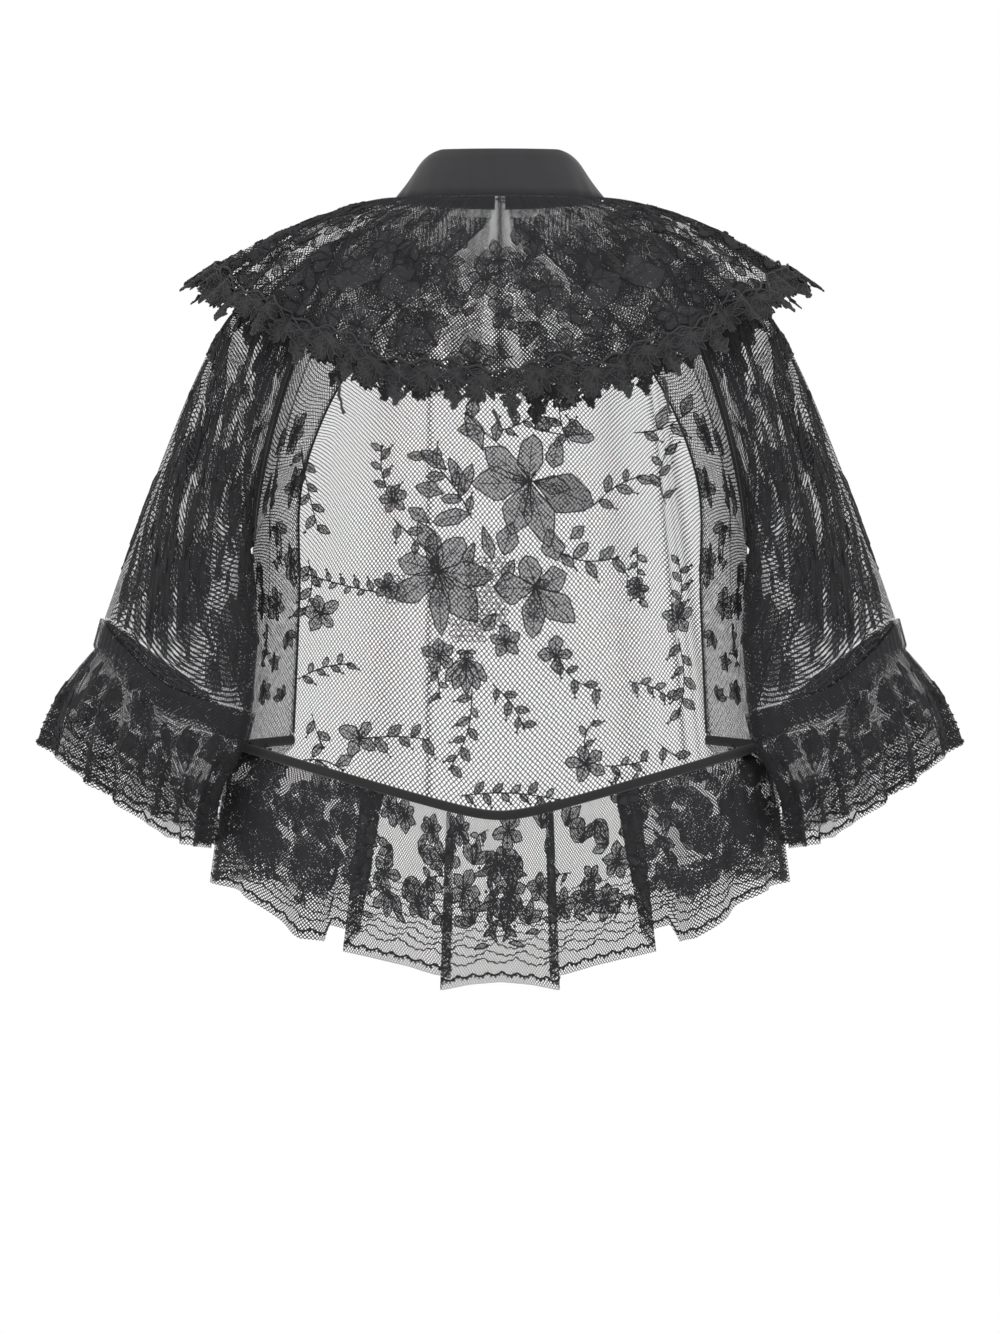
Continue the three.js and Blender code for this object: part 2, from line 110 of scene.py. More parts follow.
# What each sheet is cut to, width by length.
COLLAR_CUT = (425.0, 34.0)
YOKE_CUT = (1000.0, 150.0)
TRIM_CUT = (1120.0, 36.0)
BACK_CUT = (380.0, 430.0)
FRONT_CUT = (120.0, 370.0)
SLEEVE_CUT = (480.0, 350.0)
CASING_CUT = (430.0, 46.0)
RUFFLE_CUT = (640.0, 88.0)
FLOUNCE_CUT = (620.0, 118.0)
FLOUNCE_SIDE_CUT = (110.0, 98.0)

# Places on the joints that cloth crosses: (start, end), on the -X side.
SLEEVE_BEND = ((-236.0, 0.0, -177.0), (-294.4, 0.0, -220.8))
FRONT_BEND = ((0.0, 117.0, -39.0), (0.0, 150.0, -50.0))
HEM_BEND = ((-190.0, 0.0, -395.0), (-190.0, 36.7, -395.0))

# The studio, in metres.
CAMERA_PLACE = (0.0, -9.11, -0.338)
CAMERA_LENS_MM = 341.2
SENSOR_WIDTH_MM = 36.0
FLOOR_Z = -1.0
FLOOR_SIZE = 2.4


# ------ curves and surfaces
def smooth(value, low, high):
    """0 below low, 1 above high, and an eased step between them."""
    share = np.clip((np.asarray(value, float) - low) / (high - low), 0.0, 1.0)
    return share * share * (3.0 - 2.0 * share)


def column(*parts):
    """Stacks equal arrays into points, one row each."""
    return np.stack(np.broadcast_arrays(*parts), axis=-1)


def mix(first, second, share):
    """From the first points (share 0) to the second (share 1)."""
    share = np.asarray(share)[..., None]
    return first * (1.0 - share) + second * share


def curve_through(places):
    """A centripetal Catmull-Rom curve as a function of 0..1."""
    p = np.array(places, float)
    p = np.vstack([2 * p[0] - p[1], p, 2 * p[-1] - p[-2]])
    spans = len(places) - 1

    def at(share):
        x = np.clip(np.asarray(share, float), 0, 1) * spans
        i = np.minimum(x.astype(int), spans - 1)
        t = (x - i)[..., None]
        p0, p1, p2, p3 = p[i], p[i + 1], p[i + 2], p[i + 3]
        pairs = ((p0, p1), (p1, p2), (p2, p3))
        d0, d1, d2 = (np.linalg.norm(b - a, axis=-1, keepdims=True) ** 0.5 for a, b in pairs)
        m1 = ((p1 - p0) / d0 - (p2 - p0) / (d0 + d1) + (p2 - p1) / d1) * d1
        m2 = ((p2 - p1) / d1 - (p3 - p1) / (d1 + d2) + (p3 - p2) / d2) * d1
        square = -3 * p1 + 3 * p2 - 2 * m1 - m2
        cube = 2 * p1 - 2 * p2 + m1 + m2
        return p1 + m1 * t + square * t**2 + cube * t**3

    return at


def neck_point(angle, outset=0.0):
    """On the neck seam, which dips towards the front."""
    turn = np.radians(angle)
    drop = NECK["front_drop"] * ((1 - np.cos(turn)) / 2) ** 3
    x = -(NECK["half_width"] + outset) * np.sin(turn)
    return column(x, -(NECK["half_depth"] + outset) * np.cos(turn), -drop)


def collar_point(angle, height):
    """On the collar's outer face, from the neck seam (0) to its upper edge (1)."""
    turn = np.radians(angle)
    around = np.abs(angle)
    drop = COLLAR["side_drop"] * smooth(around, 40, 90)
    top = column(-COLLAR["top_half_width"] * np.sin(turn), -COLLAR["top_half_depth"] * np.cos(turn),
                 COLLAR["height"] - drop)
    return mix(neck_point(angle), top, height)


def yoke_point(angle, share):
    """On the smooth form of the yoke ruffle, from the neck (0) to its edge (1)."""
    turn = np.radians(angle)
    inner = neck_point(angle, 3.0)
    across_back = np.cos(turn) ** 2
    edge_z = YOKE["side_z"] - YOKE["fall"] * across_back
    eased = 1 - np.abs(1 - share) ** 1.9 * np.sign(1 - share)
    outward = share + (eased - share) * across_back
    sideways = share + (outward - share) * 0.35
    x = inner[..., 0] * (1 - sideways) - YOKE["half_width"] * np.sin(turn) * sideways
    y = inner[..., 1] * (1 - outward) - YOKE["half_depth"] * np.cos(turn) * outward
    fall = np.maximum(share, 0) ** (1.6 - 0.3 * across_back)
    return column(x, y, (inner[..., 2] - 1) * (1 - fall) + edge_z * fall)


def ring_point(places, turn_degrees):
    """A ring through four places: top, back, under and front, at turns 0, 90, 180 and 270."""
    top, back, under, front = (places[k] for k in ("top", "back", "under", "front"))
    turn = np.radians(turn_degrees)[..., None]
    centre = (top + back + under + front) / 4
    tall = (top - under) / 2 * np.cos(turn)
    deep = (back - front) / 2 * np.sin(turn)
    twist = (top + under - back - front) / 4 * np.cos(2 * turn)
    return centre + tall + deep + twist


ARMHOLE = dict(top=np.array(SHOULDER_TIP, float), back=np.array(ARMHOLE_BACK, float),
               under=np.array(UNDERARM, float), front=np.array(ARMHOLE_FRONT, float))
BACK_CURVE = curve_through(BACK_LINE)
FREE_CURVE = curve_through(FREE_EDGE)
SLEEVE_CURVES = {side: curve_through(places) for side, places in SLEEVE_LINES.items()}
CUFF_RING = {side: curve(np.array(1.0)) for side, curve in SLEEVE_CURVES.items()}
FOOT_RING = {side: np.array(place, float) for side, place in RUFFLE_FOOT.items()}
FREE_ANGLE = 180.0 - math.degrees(math.asin(-FREE_EDGE[-1][0] / HEM["half_width"]))


def hem_point(angle, outset=0.0):
    """On the hem, which hangs in a rounded point at the back and climbs to the sides."""
    turn = np.radians(angle)
    half = HEM["half_width"] + outset
    x = -half * np.sin(turn)
    rounding = HEM["rounding"]
    climb = (np.hypot(x, rounding) - rounding) / (np.hypot(half, rounding) - rounding)
    back_z = HEM["side_z"] - HEM["back_fall"] * (1 - climb)
    front_z = HEM["side_z"] + 0.1 * (half - np.abs(x))
    y = -(HEM["half_depth"] + outset) * np.cos(turn)
    return column(x, y, np.where(np.abs(angle) > 90, front_z, back_z))


def side_line(share, facing):
    """Down a body panel's edge: half of the armhole, then the side seam. facing is 1 behind, -1 in front."""
    on_armhole = ring_point(ARMHOLE, facing * 180 * np.minimum(share, 0.5) / 0.5)
    on_seam = mix(ARMHOLE["under"], np.array(SIDE_HEM, float), np.clip((share - 0.5) / 0.5, 0, 1))
    return np.where((share < 0.5)[..., None], on_armhole, on_seam)


def top_line(share, from_angle, to_angle):
    """From the neck over the shoulder seam to the shoulder tip."""
    neck_share = 0.55
    low = np.array([0, 0, -5.0])
    angle = from_angle + (to_angle - from_angle) * np.minimum(share, neck_share) / neck_share
    on_neck = neck_point(angle, -1) + low
    start = neck_point(np.full_like(share, to_angle), -1) + low
    on_shoulder = mix(start, ARMHOLE["top"], np.clip((share - neck_share) / (1 - neck_share), 0, 1))
    return np.where((share < neck_share)[..., None], on_neck, on_shoulder)


def patch(first_side, second_side, top_edge, low_edge, ease, fade):
    """A surface between four edge lines, across 0..1 and down 0..1."""
    zero, one = np.zeros(1), np.ones(1)

    def bow(edge, across):
        return edge(across) - mix(edge(zero), edge(one), ease(across))

    def at(across, down):
        place = mix(first_side(down), second_side(down), ease(across))
        place = place + bow(top_edge, across) * (np.clip(1 - down, 0, 1) ** fade)[..., None]
        return place + bow(low_edge, across) * (np.clip(down, 0, 1) ** fade)[..., None]

    return at


HALF_BACK = patch(
    BACK_CURVE,
    lambda down: side_line(down, 1),
    lambda across: top_line(across, 0, 90),
    lambda across: hem_point(across * 90),
    lambda across: 1 - np.cos(across * np.pi / 2),
    1.0,
)
FRONT = patch(
    FREE_CURVE,
    lambda down: side_line(down, -1),
    lambda across: top_line(across, 174, 90),
    lambda across: hem_point(FREE_ANGLE + (90.01 - FREE_ANGLE) * across),
    lambda across: across,
    2.5,
)


def back_surface(u, v):
    """The whole back panel: the half on the -X side, and its mirror."""
    place = HALF_BACK(np.abs(u * 2 - 1), v)
    place[..., 0] *= np.where(u > 0.5, -1, 1)
    return place


def corner_push(turn_degrees, share):
    """The bulge at the sleeve's inner back corner, full near the cuff and gone at the sleeve's head."""
    turn = np.mod(turn_degrees, 360)
    corner = np.where((turn > 90) & (turn < 180), np.sin(np.radians(2 * turn)) ** 2, 0)
    amount = corner * smooth(share, 0.15, 0.8)
    return column(SLEEVE_CORNER[0] * amount, SLEEVE_CORNER[1] * amount, 0 * amount)


def sleeve_tube(turn_degrees, share):
    """On the sleeve, from the armhole (0) to the cuff seam (1)."""
    places = {side: curve(share) for side, curve in SLEEVE_CURVES.items()}
    return ring_point(places, turn_degrees) + corner_push(turn_degrees, share)


def unit(vectors):
    """Each vector at length 1."""
    return vectors / np.maximum(np.linalg.norm(vectors, axis=-1, keepdims=True), 1e-9)


def cuff_edge(turn_degrees):
    """On the cuff seam, at the sleeve's lower end."""
    return ring_point(CUFF_RING, turn_degrees) + corner_push(turn_degrees, np.ones_like(turn_degrees))


def cuff_point(turn_degrees, down, outward):
    """Down from the cuff seam by a distance, and outward from the arm by another."""
    start = cuff_edge(turn_degrees)
    along = unit(ring_point(FOOT_RING, turn_degrees) - start)
    along = unit(along * 0.3 + np.array([-0.2, 0, -1.0]) * 0.7)
    away = unit(np.cross(cuff_edge(turn_degrees + 2) - cuff_edge(turn_degrees - 2), along))
    return start + along * np.asarray(down)[..., None] + away * np.asarray(outward)[..., None]


def flounce_point(angle, share):
    """On the smooth form of the hem flounce, from the hem (0) to its foot (1)."""
    turn = np.radians(angle)
    top = hem_point(angle) + np.array([0, 0, -2.0])
    x = -FLOUNCE["half_width"] * np.sin(turn)
    rise = FLOUNCE["side_rise"] * np.abs(x / FLOUNCE["half_width"]) ** FLOUNCE["power"]
    rise = np.where(np.abs(angle) > 90, FLOUNCE["side_rise"], rise)
    foot = column(x, -FLOUNCE["half_depth"] * np.cos(turn), FLOUNCE["back_z"] + rise)
    return mix(top, foot, share)


def normals_of(surface, u, v):
    """The surface's normals, from small steps along u and v."""
    step = 1e-3
    along_u = surface(u + step, v) - surface(u - step, v)
    along_v = surface(u, v + step) - surface(u, v - step)
    return unit(np.cross(along_u, along_v))


# ------ meshes
def new_piece(name, verts_mm, faces, look, uv, density_and_shade=None):
    """A mesh object. uv is the place on the cut cloth; the last argument is how close its net is drawn
    together, which also carries painted shade in creases and gather valleys.
    """
    mesh = bpy.data.meshes.new(name)
    verts = np.asarray(verts_mm, float) * MM
    faces = np.asarray(faces, np.int32)
    mesh.vertices.add(len(verts))
    mesh.vertices.foreach_set("co", verts.ravel())
    mesh.loops.add(faces.size)
    mesh.loops.foreach_set("vertex_index", faces.ravel())
    mesh.polygons.add(len(faces))
    mesh.polygons.foreach_set("loop_start", np.arange(len(faces), dtype=np.int32) * faces.shape[1])
    mesh.polygons.foreach_set("use_smooth", np.full(len(faces), True))
    layer = mesh.uv_layers.new(name="cloth")
    layer.data.foreach_set("uv", (np.asarray(uv, float) * MM)[faces.ravel()].ravel())
    if density_and_shade is not None:
        layer = mesh.attributes.new("density_and_shade", "FLOAT", "POINT")
        layer.data.foreach_set("value", np.asarray(density_and_shade, float).ravel())
    mesh.update(calc_edges=True)
    mesh.validate()
    mesh.materials.append(LOOKS[look])
    obj = bpy.data.objects.new(name, mesh)
    bpy.context.scene.collection.objects.link(obj)
    return obj


def strip_faces(columns, rows, round_columns=False, round_rows=False):
    """Quads between columns of points; either way round can close on itself."""
    last_column = columns if round_columns else columns - 1
    last_row = rows if round_rows else rows - 1
    i, j = np.meshgrid(np.arange(last_column), np.arange(last_row), indexing="ij")
    here, after = i * rows, (i + 1) % columns * rows
    below = (j + 1) % rows
    return np.stack([here + j, after + j, after + below, here + below], axis=-1).reshape(-1, 4)


def cloth(name, surface, grid, look, cut, density_and_shade, mirror=1.0):
    """A sheet from a (u, v) surface. cut is its width and length; the length can be a function of u."""
    columns, rows = grid
    u, v = np.meshgrid(np.linspace(0, 1, columns), np.linspace(0, 1, rows), indexing="ij")
    u, v = u.ravel(), v.ravel()
    verts = surface(u, v)
    verts[:, 0] *= mirror
    faces = strip_faces(columns, rows)
    if mirror < 0:
        faces = faces[:, ::-1]
    width, length = cut
    uv = np.stack([u * width, v * (length(u) if callable(length) else length)], -1)
    return new_piece(name, verts, faces, look, uv, density_and_shade(u, v))


def tube(name, path, radii, look, closed=False, squash=1.0, sides=8, mirror=1.0):
    """A cord along a path; squash flattens it along its second axis."""
    path = np.asarray(path, float)
    tangent = unit(np.roll(path, -1, 0) - np.roll(path, 1, 0) if closed else np.gradient(path, axis=0))
    side = unit(np.cross(tangent, np.tile([0.01, 0.02, 1.0], (len(path), 1))))
    other = np.cross(side, tangent)
    turn = np.linspace(0, 2 * np.pi, sides, endpoint=False)
    radii = np.broadcast_to(radii, (len(path),))[:, None, None]
    flat_way = squash * np.sin(turn)[None, :, None] * side[:, None, :]
    ring = np.cos(turn)[None, :, None] * other[:, None, :] + flat_way
    verts = (path[:, None, :] + ring * radii).reshape(-1, 3)
    verts[:, 0] *= mirror
    faces = strip_faces(len(path), sides, closed, True)
    along = np.repeat(np.arange(len(path)) * 3.0, sides)
    uv = np.stack([along, np.tile(np.arange(sides), len(path))], -1)
    return new_piece(name, verts, faces if mirror > 0 else faces[:, ::-1], look, uv)


def seen_from_behind(piece):
    """Places flat (x, z) points on a piece by looking at it along +Y; returns points and normals in mm."""
    mesh = piece.data
    verts = [v.co.copy() for v in mesh.vertices]
    tree = BVHTree.FromPolygons(verts, [tuple(p.vertices) for p in mesh.polygons])
    look = Vector((0, 1, 0))

    def at(points):
        out = np.zeros((len(points), 3))
        normal = np.zeros((len(points), 3))
        for i, (x, z) in enumerate(points):
            hit, face_normal, _, _ = tree.ray_cast(Vector((x * MM, -1, z * MM)), look)
            if hit is None:
                hit, face_normal, _, _ = tree.find_nearest(Vector((x * MM, -0.1, z * MM)))
            if face_normal.dot(look) > 0:
                face_normal = -face_normal
            out[i] = np.array(hit) / MM
            normal[i] = face_normal
        return out, normal

    return at


def laid_on(surface, cut, mirror=1.0, outward=1.0):
    """Places flat (x, y) points in mm on a (u, v) surface with this cut size; see cloth."""
    width, length = cut

    def at(points):
        u = points[:, 0] / width
        v = points[:, 1] / (length(u) if callable(length) else length)
        place = surface(u, v)
        normal = normals_of(surface, u, v) * outward
        flip = np.array([mirror, 1, 1])
        return place * flip, normal * flip

    return at


# ------ drawing lace patterns
class Lacework:
    """Petals, leaves, cords and beads, drawn in flat millimetres and laid on a surface later."""
    PETAL_STEPS = 8
    BEAD_SIDES = 8

    def __init__(self, seed):
        self.rng = random.Random(seed)
        self.fills = []
        self.cords = []
        self.beads = []

    def cord(self, points, radius=CORD):
        """A cord through flat points."""
        self.cords.append((np.asarray(points, float), radius))

    def bead(self, x, y, radius=1.0):
        """A low round knot."""
        self.beads.append((x, y, radius))

    def petal(self, x, y, angle, length, width, bend=0.0, vein=True, point=1.25, edge=CORD):
        """A corded petal or leaf from (x, y) outward. point above 1 moves its widest part out."""
        t = np.linspace(0, 1, self.PETAL_STEPS + 1)
        frill = 1 + 0.14 * np.sin(11 * t + self.rng.uniform(0, 6)) if width > 7 else 1
        half = np.maximum(width / 2 * np.sin(np.pi * t**point) ** 0.85 * frill, 0.05)
        spine_x = t * length
        spine_y = bend * length * t**2
        c, s = math.cos(angle), math.sin(angle)

        def turned(px, py):
            return np.stack([x + c * px - s * py, y + s * px + c * py], -1)

        left, mid, right = (turned(spine_x, spine_y + side * half) for side in (1, 0, -1))
        self.fills.append(np.stack([left, mid, right], axis=1))
        self.cord(np.vstack([left, right[::-1], left[:1]]), edge)
        if vein:
            self.cord(mid[:-1], edge * 0.7)
            for k in (2, 4):
                for rim in (left, right):
                    self.cord(np.stack([mid[k], (mid[k + 1] + rim[k + 1]) / 2]), edge * 0.55)

    def flower(self, x, y, size, count, turn):
        """Uneven petals all round a dark heart."""
        for k in range(count):
            angle = turn + 2 * math.pi * k / count + self.rng.uniform(-0.12, 0.12)
            length = size * self.rng.uniform(0.88, 1.1)
            breadth = length * self.rng.uniform(0.55, 0.68)
            self.petal(x, y, angle, length, breadth, self.rng.uniform(-0.12, 0.12))
        self.heart(x, y, size * 0.24)

    def heart(self, x, y, size):
        """A solid dark centre with short stamens."""
        self.bead(x, y, size * 0.6)
        for k in range(7):
            angle = 2 * math.pi * k / 7
            tip = (x + size * 1.5 * math.cos(angle), y + size * 1.5 * math.sin(angle))
            self.cord([(x, y), tip], CORD)
            self.bead(tip[0], tip[1], size * 0.22)

    def pebbles(self, x, y, width, height, size):
        """Small rings packed like pebbles, the open mesh below a flower's centre."""
        row_step, column_step = size * 1.8, size * 2.1
        rows = max(1, int(height / row_step))
        across = max(1, int(width / column_step))
        turn = np.linspace(0, 2 * np.pi, 9)
        for r in range(rows):
            for c in range(across):
                px = x + (c + 0.5 * (r % 2) - across / 2) * column_step + self.rng.uniform(-0.3, 0.3)
                py = y - r * row_step + self.rng.uniform(-0.3, 0.3)
                ring = np.stack([px + size * np.cos(turn), py + size * 0.85 * np.sin(turn)], -1)
                self.cord(ring, CORD * 0.65)

    def spray(self, start, end, leaf, bow=0.12):
        """A curved stem with leaves to either side, which end in dark buds."""
        start, end = np.array(start, float), np.array(end, float)
        along = end - start
        length = np.linalg.norm(along)
        across = np.array([-along[1], along[0]]) / length
        t = np.linspace(0, 1, 12)
        stem = start + along * t[:, None] + across * (bow * length * np.sin(np.pi * t))[:, None]
        self.cord(stem, CORD)
        count = max(2, int(length / (leaf * 0.62)))
        for k in range(count):
            share = (k + 0.6) / count
            place = start + along * share + across * bow * length * math.sin(math.pi * share)
            side = 1 if k % 2 else -1
            angle = math.atan2(along[1], along[0]) + side * self.rng.uniform(0.7, 1.05)
            size = leaf * self.rng.uniform(0.75, 1.1)
            self.petal(place[0], place[1], angle, size, size * 0.5, vein=size > 9, point=1.0)
            if k % 2 == 0:
                tip = place + 1.25 * size * np.array([math.cos(angle), math.sin(angle)])
                self.cord([place, tip], CORD * 0.8)
                self.bead(tip[0], tip[1], 1.0)
        self.bead(end[0], end[1], 1.3)

    def garden(self, width, height, spacing, margin, size, keep=None):
        """Fills a rectangle with flowers, leaves and sprays on a loose triangular grid."""
        rows = int(height / (spacing * 0.87))
        columns = int(width / spacing)
        for r in range(rows):
            for c in range(columns):
                x = (c + 0.5 + 0.5 * (r % 2)) * width / columns + self.rng.uniform(-0.2, 0.2) * spacing
                y = margin + (r + 0.5) * (height - 2 * margin) / rows + self.rng.uniform(-0.2, 0.2) * spacing
                choice = self.rng.random()
                turn = self.rng.uniform(0, 2 * math.pi)
                scale = self.rng.uniform(0.75, 1.15)
                if x > width - size or (keep and not keep(x, y)):
                    continue
                if choice < 0.45:
                    self.flower(x, y, size * scale, self.rng.choice((5, 6)), turn)
                elif choice < 0.8:
                    for k in range(3):
                        self.petal(x, y, turn + k * 0.75, size * 1.2 * scale, size * 0.55 * scale, 0.15)
                else:
                    reach = size * 1.5 * scale
                    end = (x + reach * math.cos(turn), y + reach * math.sin(turn))
                    self.spray((x, y), end, leaf=size * 0.6)

    def waves(self, width, top, foot, lines, pitch, depth):
        """Wavy cords one under another along a ruffle's edge, with leaf shapes between them."""
        x = np.arange(0, width, 2.0)
        for k in range(lines):
            share = k / max(1, lines - 1)
            y = top + (foot - top) * share
            swing = depth * (0.5 + 0.5 * share)
            line = y + swing * np.abs(np.sin(np.pi * x / pitch + 0.6 * k)) - swing / 2
            self.cord(np.stack([x, line + 0.8 * np.sin(x * 0.9 + k)], -1), CORD * (0.75 + 0.3 * share))
        for start in np.arange(pitch * 0.25, width - pitch, pitch * 0.5):
            y = top + (foot - top) * self.rng.uniform(0.1, 0.8)
            turn = self.rng.uniform(-0.4, 0.4)
            self.petal(start, y, turn, pitch * 0.42, pitch * 0.13, 0.2, vein=False)

    def scrolls(self, x, top, foot):
        """Curling leaves down a line, the same on both of its sides."""
        count = 7
        for k in range(count):
            y = top + (foot - top) * k / (count - 1)
            reach = 16 + 9 * math.sin(2.1 * k)
            for side in (-1, 1):
                turn = math.pi / 2 - side * (0.5 + 0.35 * (k % 3))
                self.petal(x + side * 2, y, turn, reach, 5.5, -side * 0.35, vein=False)
                self.petal(x + side * 9, y + 3, turn + side * 0.6, reach * 0.8, 4.0, side * 0.4, vein=False)
                self.bead(x + side * (reach * 0.8), y + 4, 1.3)

    def picots(self, width, foot, pitch, depth):
        """The scalloped lower edge: a firm cord and a row of picot dots on it."""
        step, size = 3.6, 0.95
        x = np.arange(0, width, 1.5)
        self.cord(np.stack([x, foot + depth * np.abs(np.sin(np.pi * x / pitch))], -1), CORD * 1.6)
        for px in np.arange(step, width - step, step):
            self.bead(px, foot + depth * abs(math.sin(math.pi * px / pitch)) + 1.3, size)

    def make(self, name, place, fill_look, cord_look="cord"):
        """Lays the drawing on a surface; returns the see-through fills and the solid cords and beads."""
        pieces = []
        if self.fills:
            fills = np.array(self.fills)
            flat = fills.reshape(-1, 2)
            points, normal = place(flat)
            crown = np.tile([0.0, 0.5, 0.0], len(flat) // 3)[:, None]
            verts = points + normal * (LIFT + crown)
            rows = self.PETAL_STEPS + 1
            first = (np.arange(len(fills)) * rows * 3)[:, None, None]
            faces = (strip_faces(rows, 3)[None] + first).reshape(-1, 4)
            pieces.append(new_piece(name + "_petals", verts, faces, fill_look, flat))
        pieces.append(self._make_cords(name + "_cords", place, cord_look))
        return pieces

    def _make_cords(self, name, place, look):
        """Each cord is a square tube of quads along its points, closed at both ends."""
        flat = np.vstack([c for c, _ in self.cords])
        radius = np.concatenate([np.full(len(c), r) for c, r in self.cords])[:, None]
        first = np.zeros(len(flat), bool)
        first[np.cumsum([0] + [len(c) for c, _ in self.cords[:-1]])] = True
        last = np.roll(first, -1)
        points, normal = place(flat)
        ahead = np.roll(points, -1, 0) - points
        behind = points - np.roll(points, 1, 0)
        tangent = np.where(first[:, None], ahead, np.where(last[:, None], behind, ahead + behind))
        side = unit(np.cross(normal, tangent))
        centre = points + normal * (LIFT + 0.2)
        ring = [centre + out * radius for out in (side, normal, -side, -normal)]
        verts = np.stack(ring, axis=1).reshape(-1, 3)
        start = np.nonzero(~last)[0] * 4
        sides = [np.stack([start + k, start + 4 + k, start + 4 + (k + 1) % 4, start + (k + 1) % 4], -1)
                 for k in range(4)]
        caps = [np.nonzero(first)[0][:, None] * 4 + [0, 1, 2, 3],
                np.nonzero(last)[0][:, None] * 4 + [3, 2, 1, 0]]
        faces = np.vstack(sides + caps)
        uv = np.repeat(flat, 4, axis=0)
        if self.beads:
            verts, faces, uv = self._add_beads(place, verts, faces, uv)
        return new_piece(name, verts, faces, look, uv)

    def _add_beads(self, place, verts, faces, uv):
        """Each bead is a low eight-sided dome of quads, closed underneath."""
        beads = np.array(self.beads)
        turn = np.linspace(0, 2 * np.pi, self.BEAD_SIDES, endpoint=False)
        circle = np.stack([np.cos(turn), np.sin(turn)], -1)
        rings = [beads[:, None, :2] + beads[:, None, 2:] * scale * circle for scale in (1.0, 0.6)]
        flat = np.concatenate(rings, axis=1).reshape(-1, 2)
        points, normal = place(flat)
        rise = np.tile(np.repeat([0.0, 0.75], self.BEAD_SIDES), len(beads))
        height = rise * np.repeat(beads[:, 2], 2 * self.BEAD_SIDES)
        points = points + normal * (LIFT + height[:, None])
        k = np.arange(8)
        wall = np.stack([k, (k + 1) % 8, 8 + (k + 1) % 8, 8 + k], -1)
        lid = np.array([[8, 9, 10, 15], [15, 10, 11, 14], [14, 11, 12, 13]])
        floor = np.array([[0, 7, 2, 1], [7, 6, 3, 2], [6, 5, 4, 3]])
        cell = np.vstack([wall, lid, floor])
        more = (cell[None] + (len(verts) + np.arange(len(beads)) * 16)[:, None, None]).reshape(-1, 4)
        return np.vstack([verts, points]), np.vstack([faces, more]), np.vstack([uv, flat])


# ------ materials
class Nodes:
    """A small helper that adds shader nodes to one material."""

    def __init__(self, name):
        self.material = bpy.data.materials.new(name)
        self.material.use_nodes = True
        self.tree = self.material.node_tree
        self.shader = self.tree.nodes["Principled BSDF"]

    def add(self, kind, **inputs):
        """A new node with these inputs set or linked."""
        node = self.tree.nodes.new(kind)
        for key, value in inputs.items():
            self.put(node.inputs[key.replace("_", " ")], value)
        return node

    def put(self, socket, value):
        """Links a socket, or sets a value."""
        if isinstance(value, bpy.types.NodeSocket):
            self.tree.links.new(value, socket)
        else:
            socket.default_value = value

    def math(self, operation, first, second=None):
        node = self.tree.nodes.new("ShaderNodeMath")
        node.operation = operation
        self.put(node.inputs[0], first)
        if second is not None:
            self.put(node.inputs[1], second)
        return node.outputs[0]

    def surface(self, roughness, specular, **others):
        """Sets the shader's plain values."""
        self.shader.inputs["Roughness"].default_value = roughness
        self.shader.inputs["Specular IOR Level"].default_value = specular
        for key, value in others.items():
            self.shader.inputs[key.replace("_", " ")].default_value = value

    def colour(self, factor, dark, light):
        """The base colour, from dark to light by factor."""
        ramp = self.tree.nodes.new("ShaderNodeValToRGB")
        ramp.color_ramp.elements[0].color = (*dark, 1)
        ramp.color_ramp.elements[1].color = (*light, 1)
        self.put(ramp.inputs[0], factor)
        self.put(self.shader.inputs["Base Color"], ramp.outputs[0])

    def bump(self, height, strength, distance):
        node = self.add("ShaderNodeBump", Strength=strength, Distance=distance, Height=height)
        self.put(self.shader.inputs["Normal"], node.outputs[0])

    def noise(self, scale, detail=2.0, vector=None):
        node = self.add("ShaderNodeTexNoise", Scale=scale, Detail=detail)
        if vector is None:
            vector = self.tree.nodes.new("ShaderNodeTexCoord").outputs["Object"]
        self.put(node.inputs["Vector"], vector)
        return node.outputs[0]


def threads(nodes, pitch, share, lean):
    """1 on the threads of a diamond net with this pitch (metres), 0 in its holes."""
    uv = nodes.tree.nodes.new("ShaderNodeUVMap")
    uv.uv_map = "cloth"
    split = nodes.add("ShaderNodeSeparateXYZ", Vector=uv.outputs[0])
    x, y = split.outputs[0], nodes.math("MULTIPLY", split.outputs[1], lean)
    # Threads widen where this attribute is high: a closer net, and painted shade in creases and gather
    # valleys.
    density_and_shade = nodes.tree.nodes.new("ShaderNodeAttribute")
    density_and_shade.attribute_name = "density_and_shade"
    wander = nodes.math("MULTIPLY", nodes.noise(220.0, 1.0, uv.outputs[0]), pitch * 0.5)
    reach = nodes.math("ADD", nodes.math("MULTIPLY", density_and_shade.outputs["Fac"], 0.2), share / 2)
    hits = []
    for operation in ("ADD", "SUBTRACT"):
        place = nodes.math("ADD", nodes.math(operation, x, y), wander)
        cell = nodes.math("FRACT", nodes.math("DIVIDE", place, pitch))
        off = nodes.math("ABSOLUTE", nodes.math("SUBTRACT", cell, 0.5))
        hits.append(nodes.math("LESS_THAN", off, reach))
    return nodes.math("MAXIMUM", *hits)


def net_look(name, pitch, share, dark, light, lean=0.8):
    """A see-through net of threads. lean below 1 stretches its diamonds lengthways."""
    nodes = Nodes(name)
    nodes.put(nodes.shader.inputs["Alpha"], threads(nodes, pitch * MM, share, lean))
    nodes.colour(nodes.noise(90.0), dark, light)
    nodes.surface(0.8, 0.25)
    return nodes.material


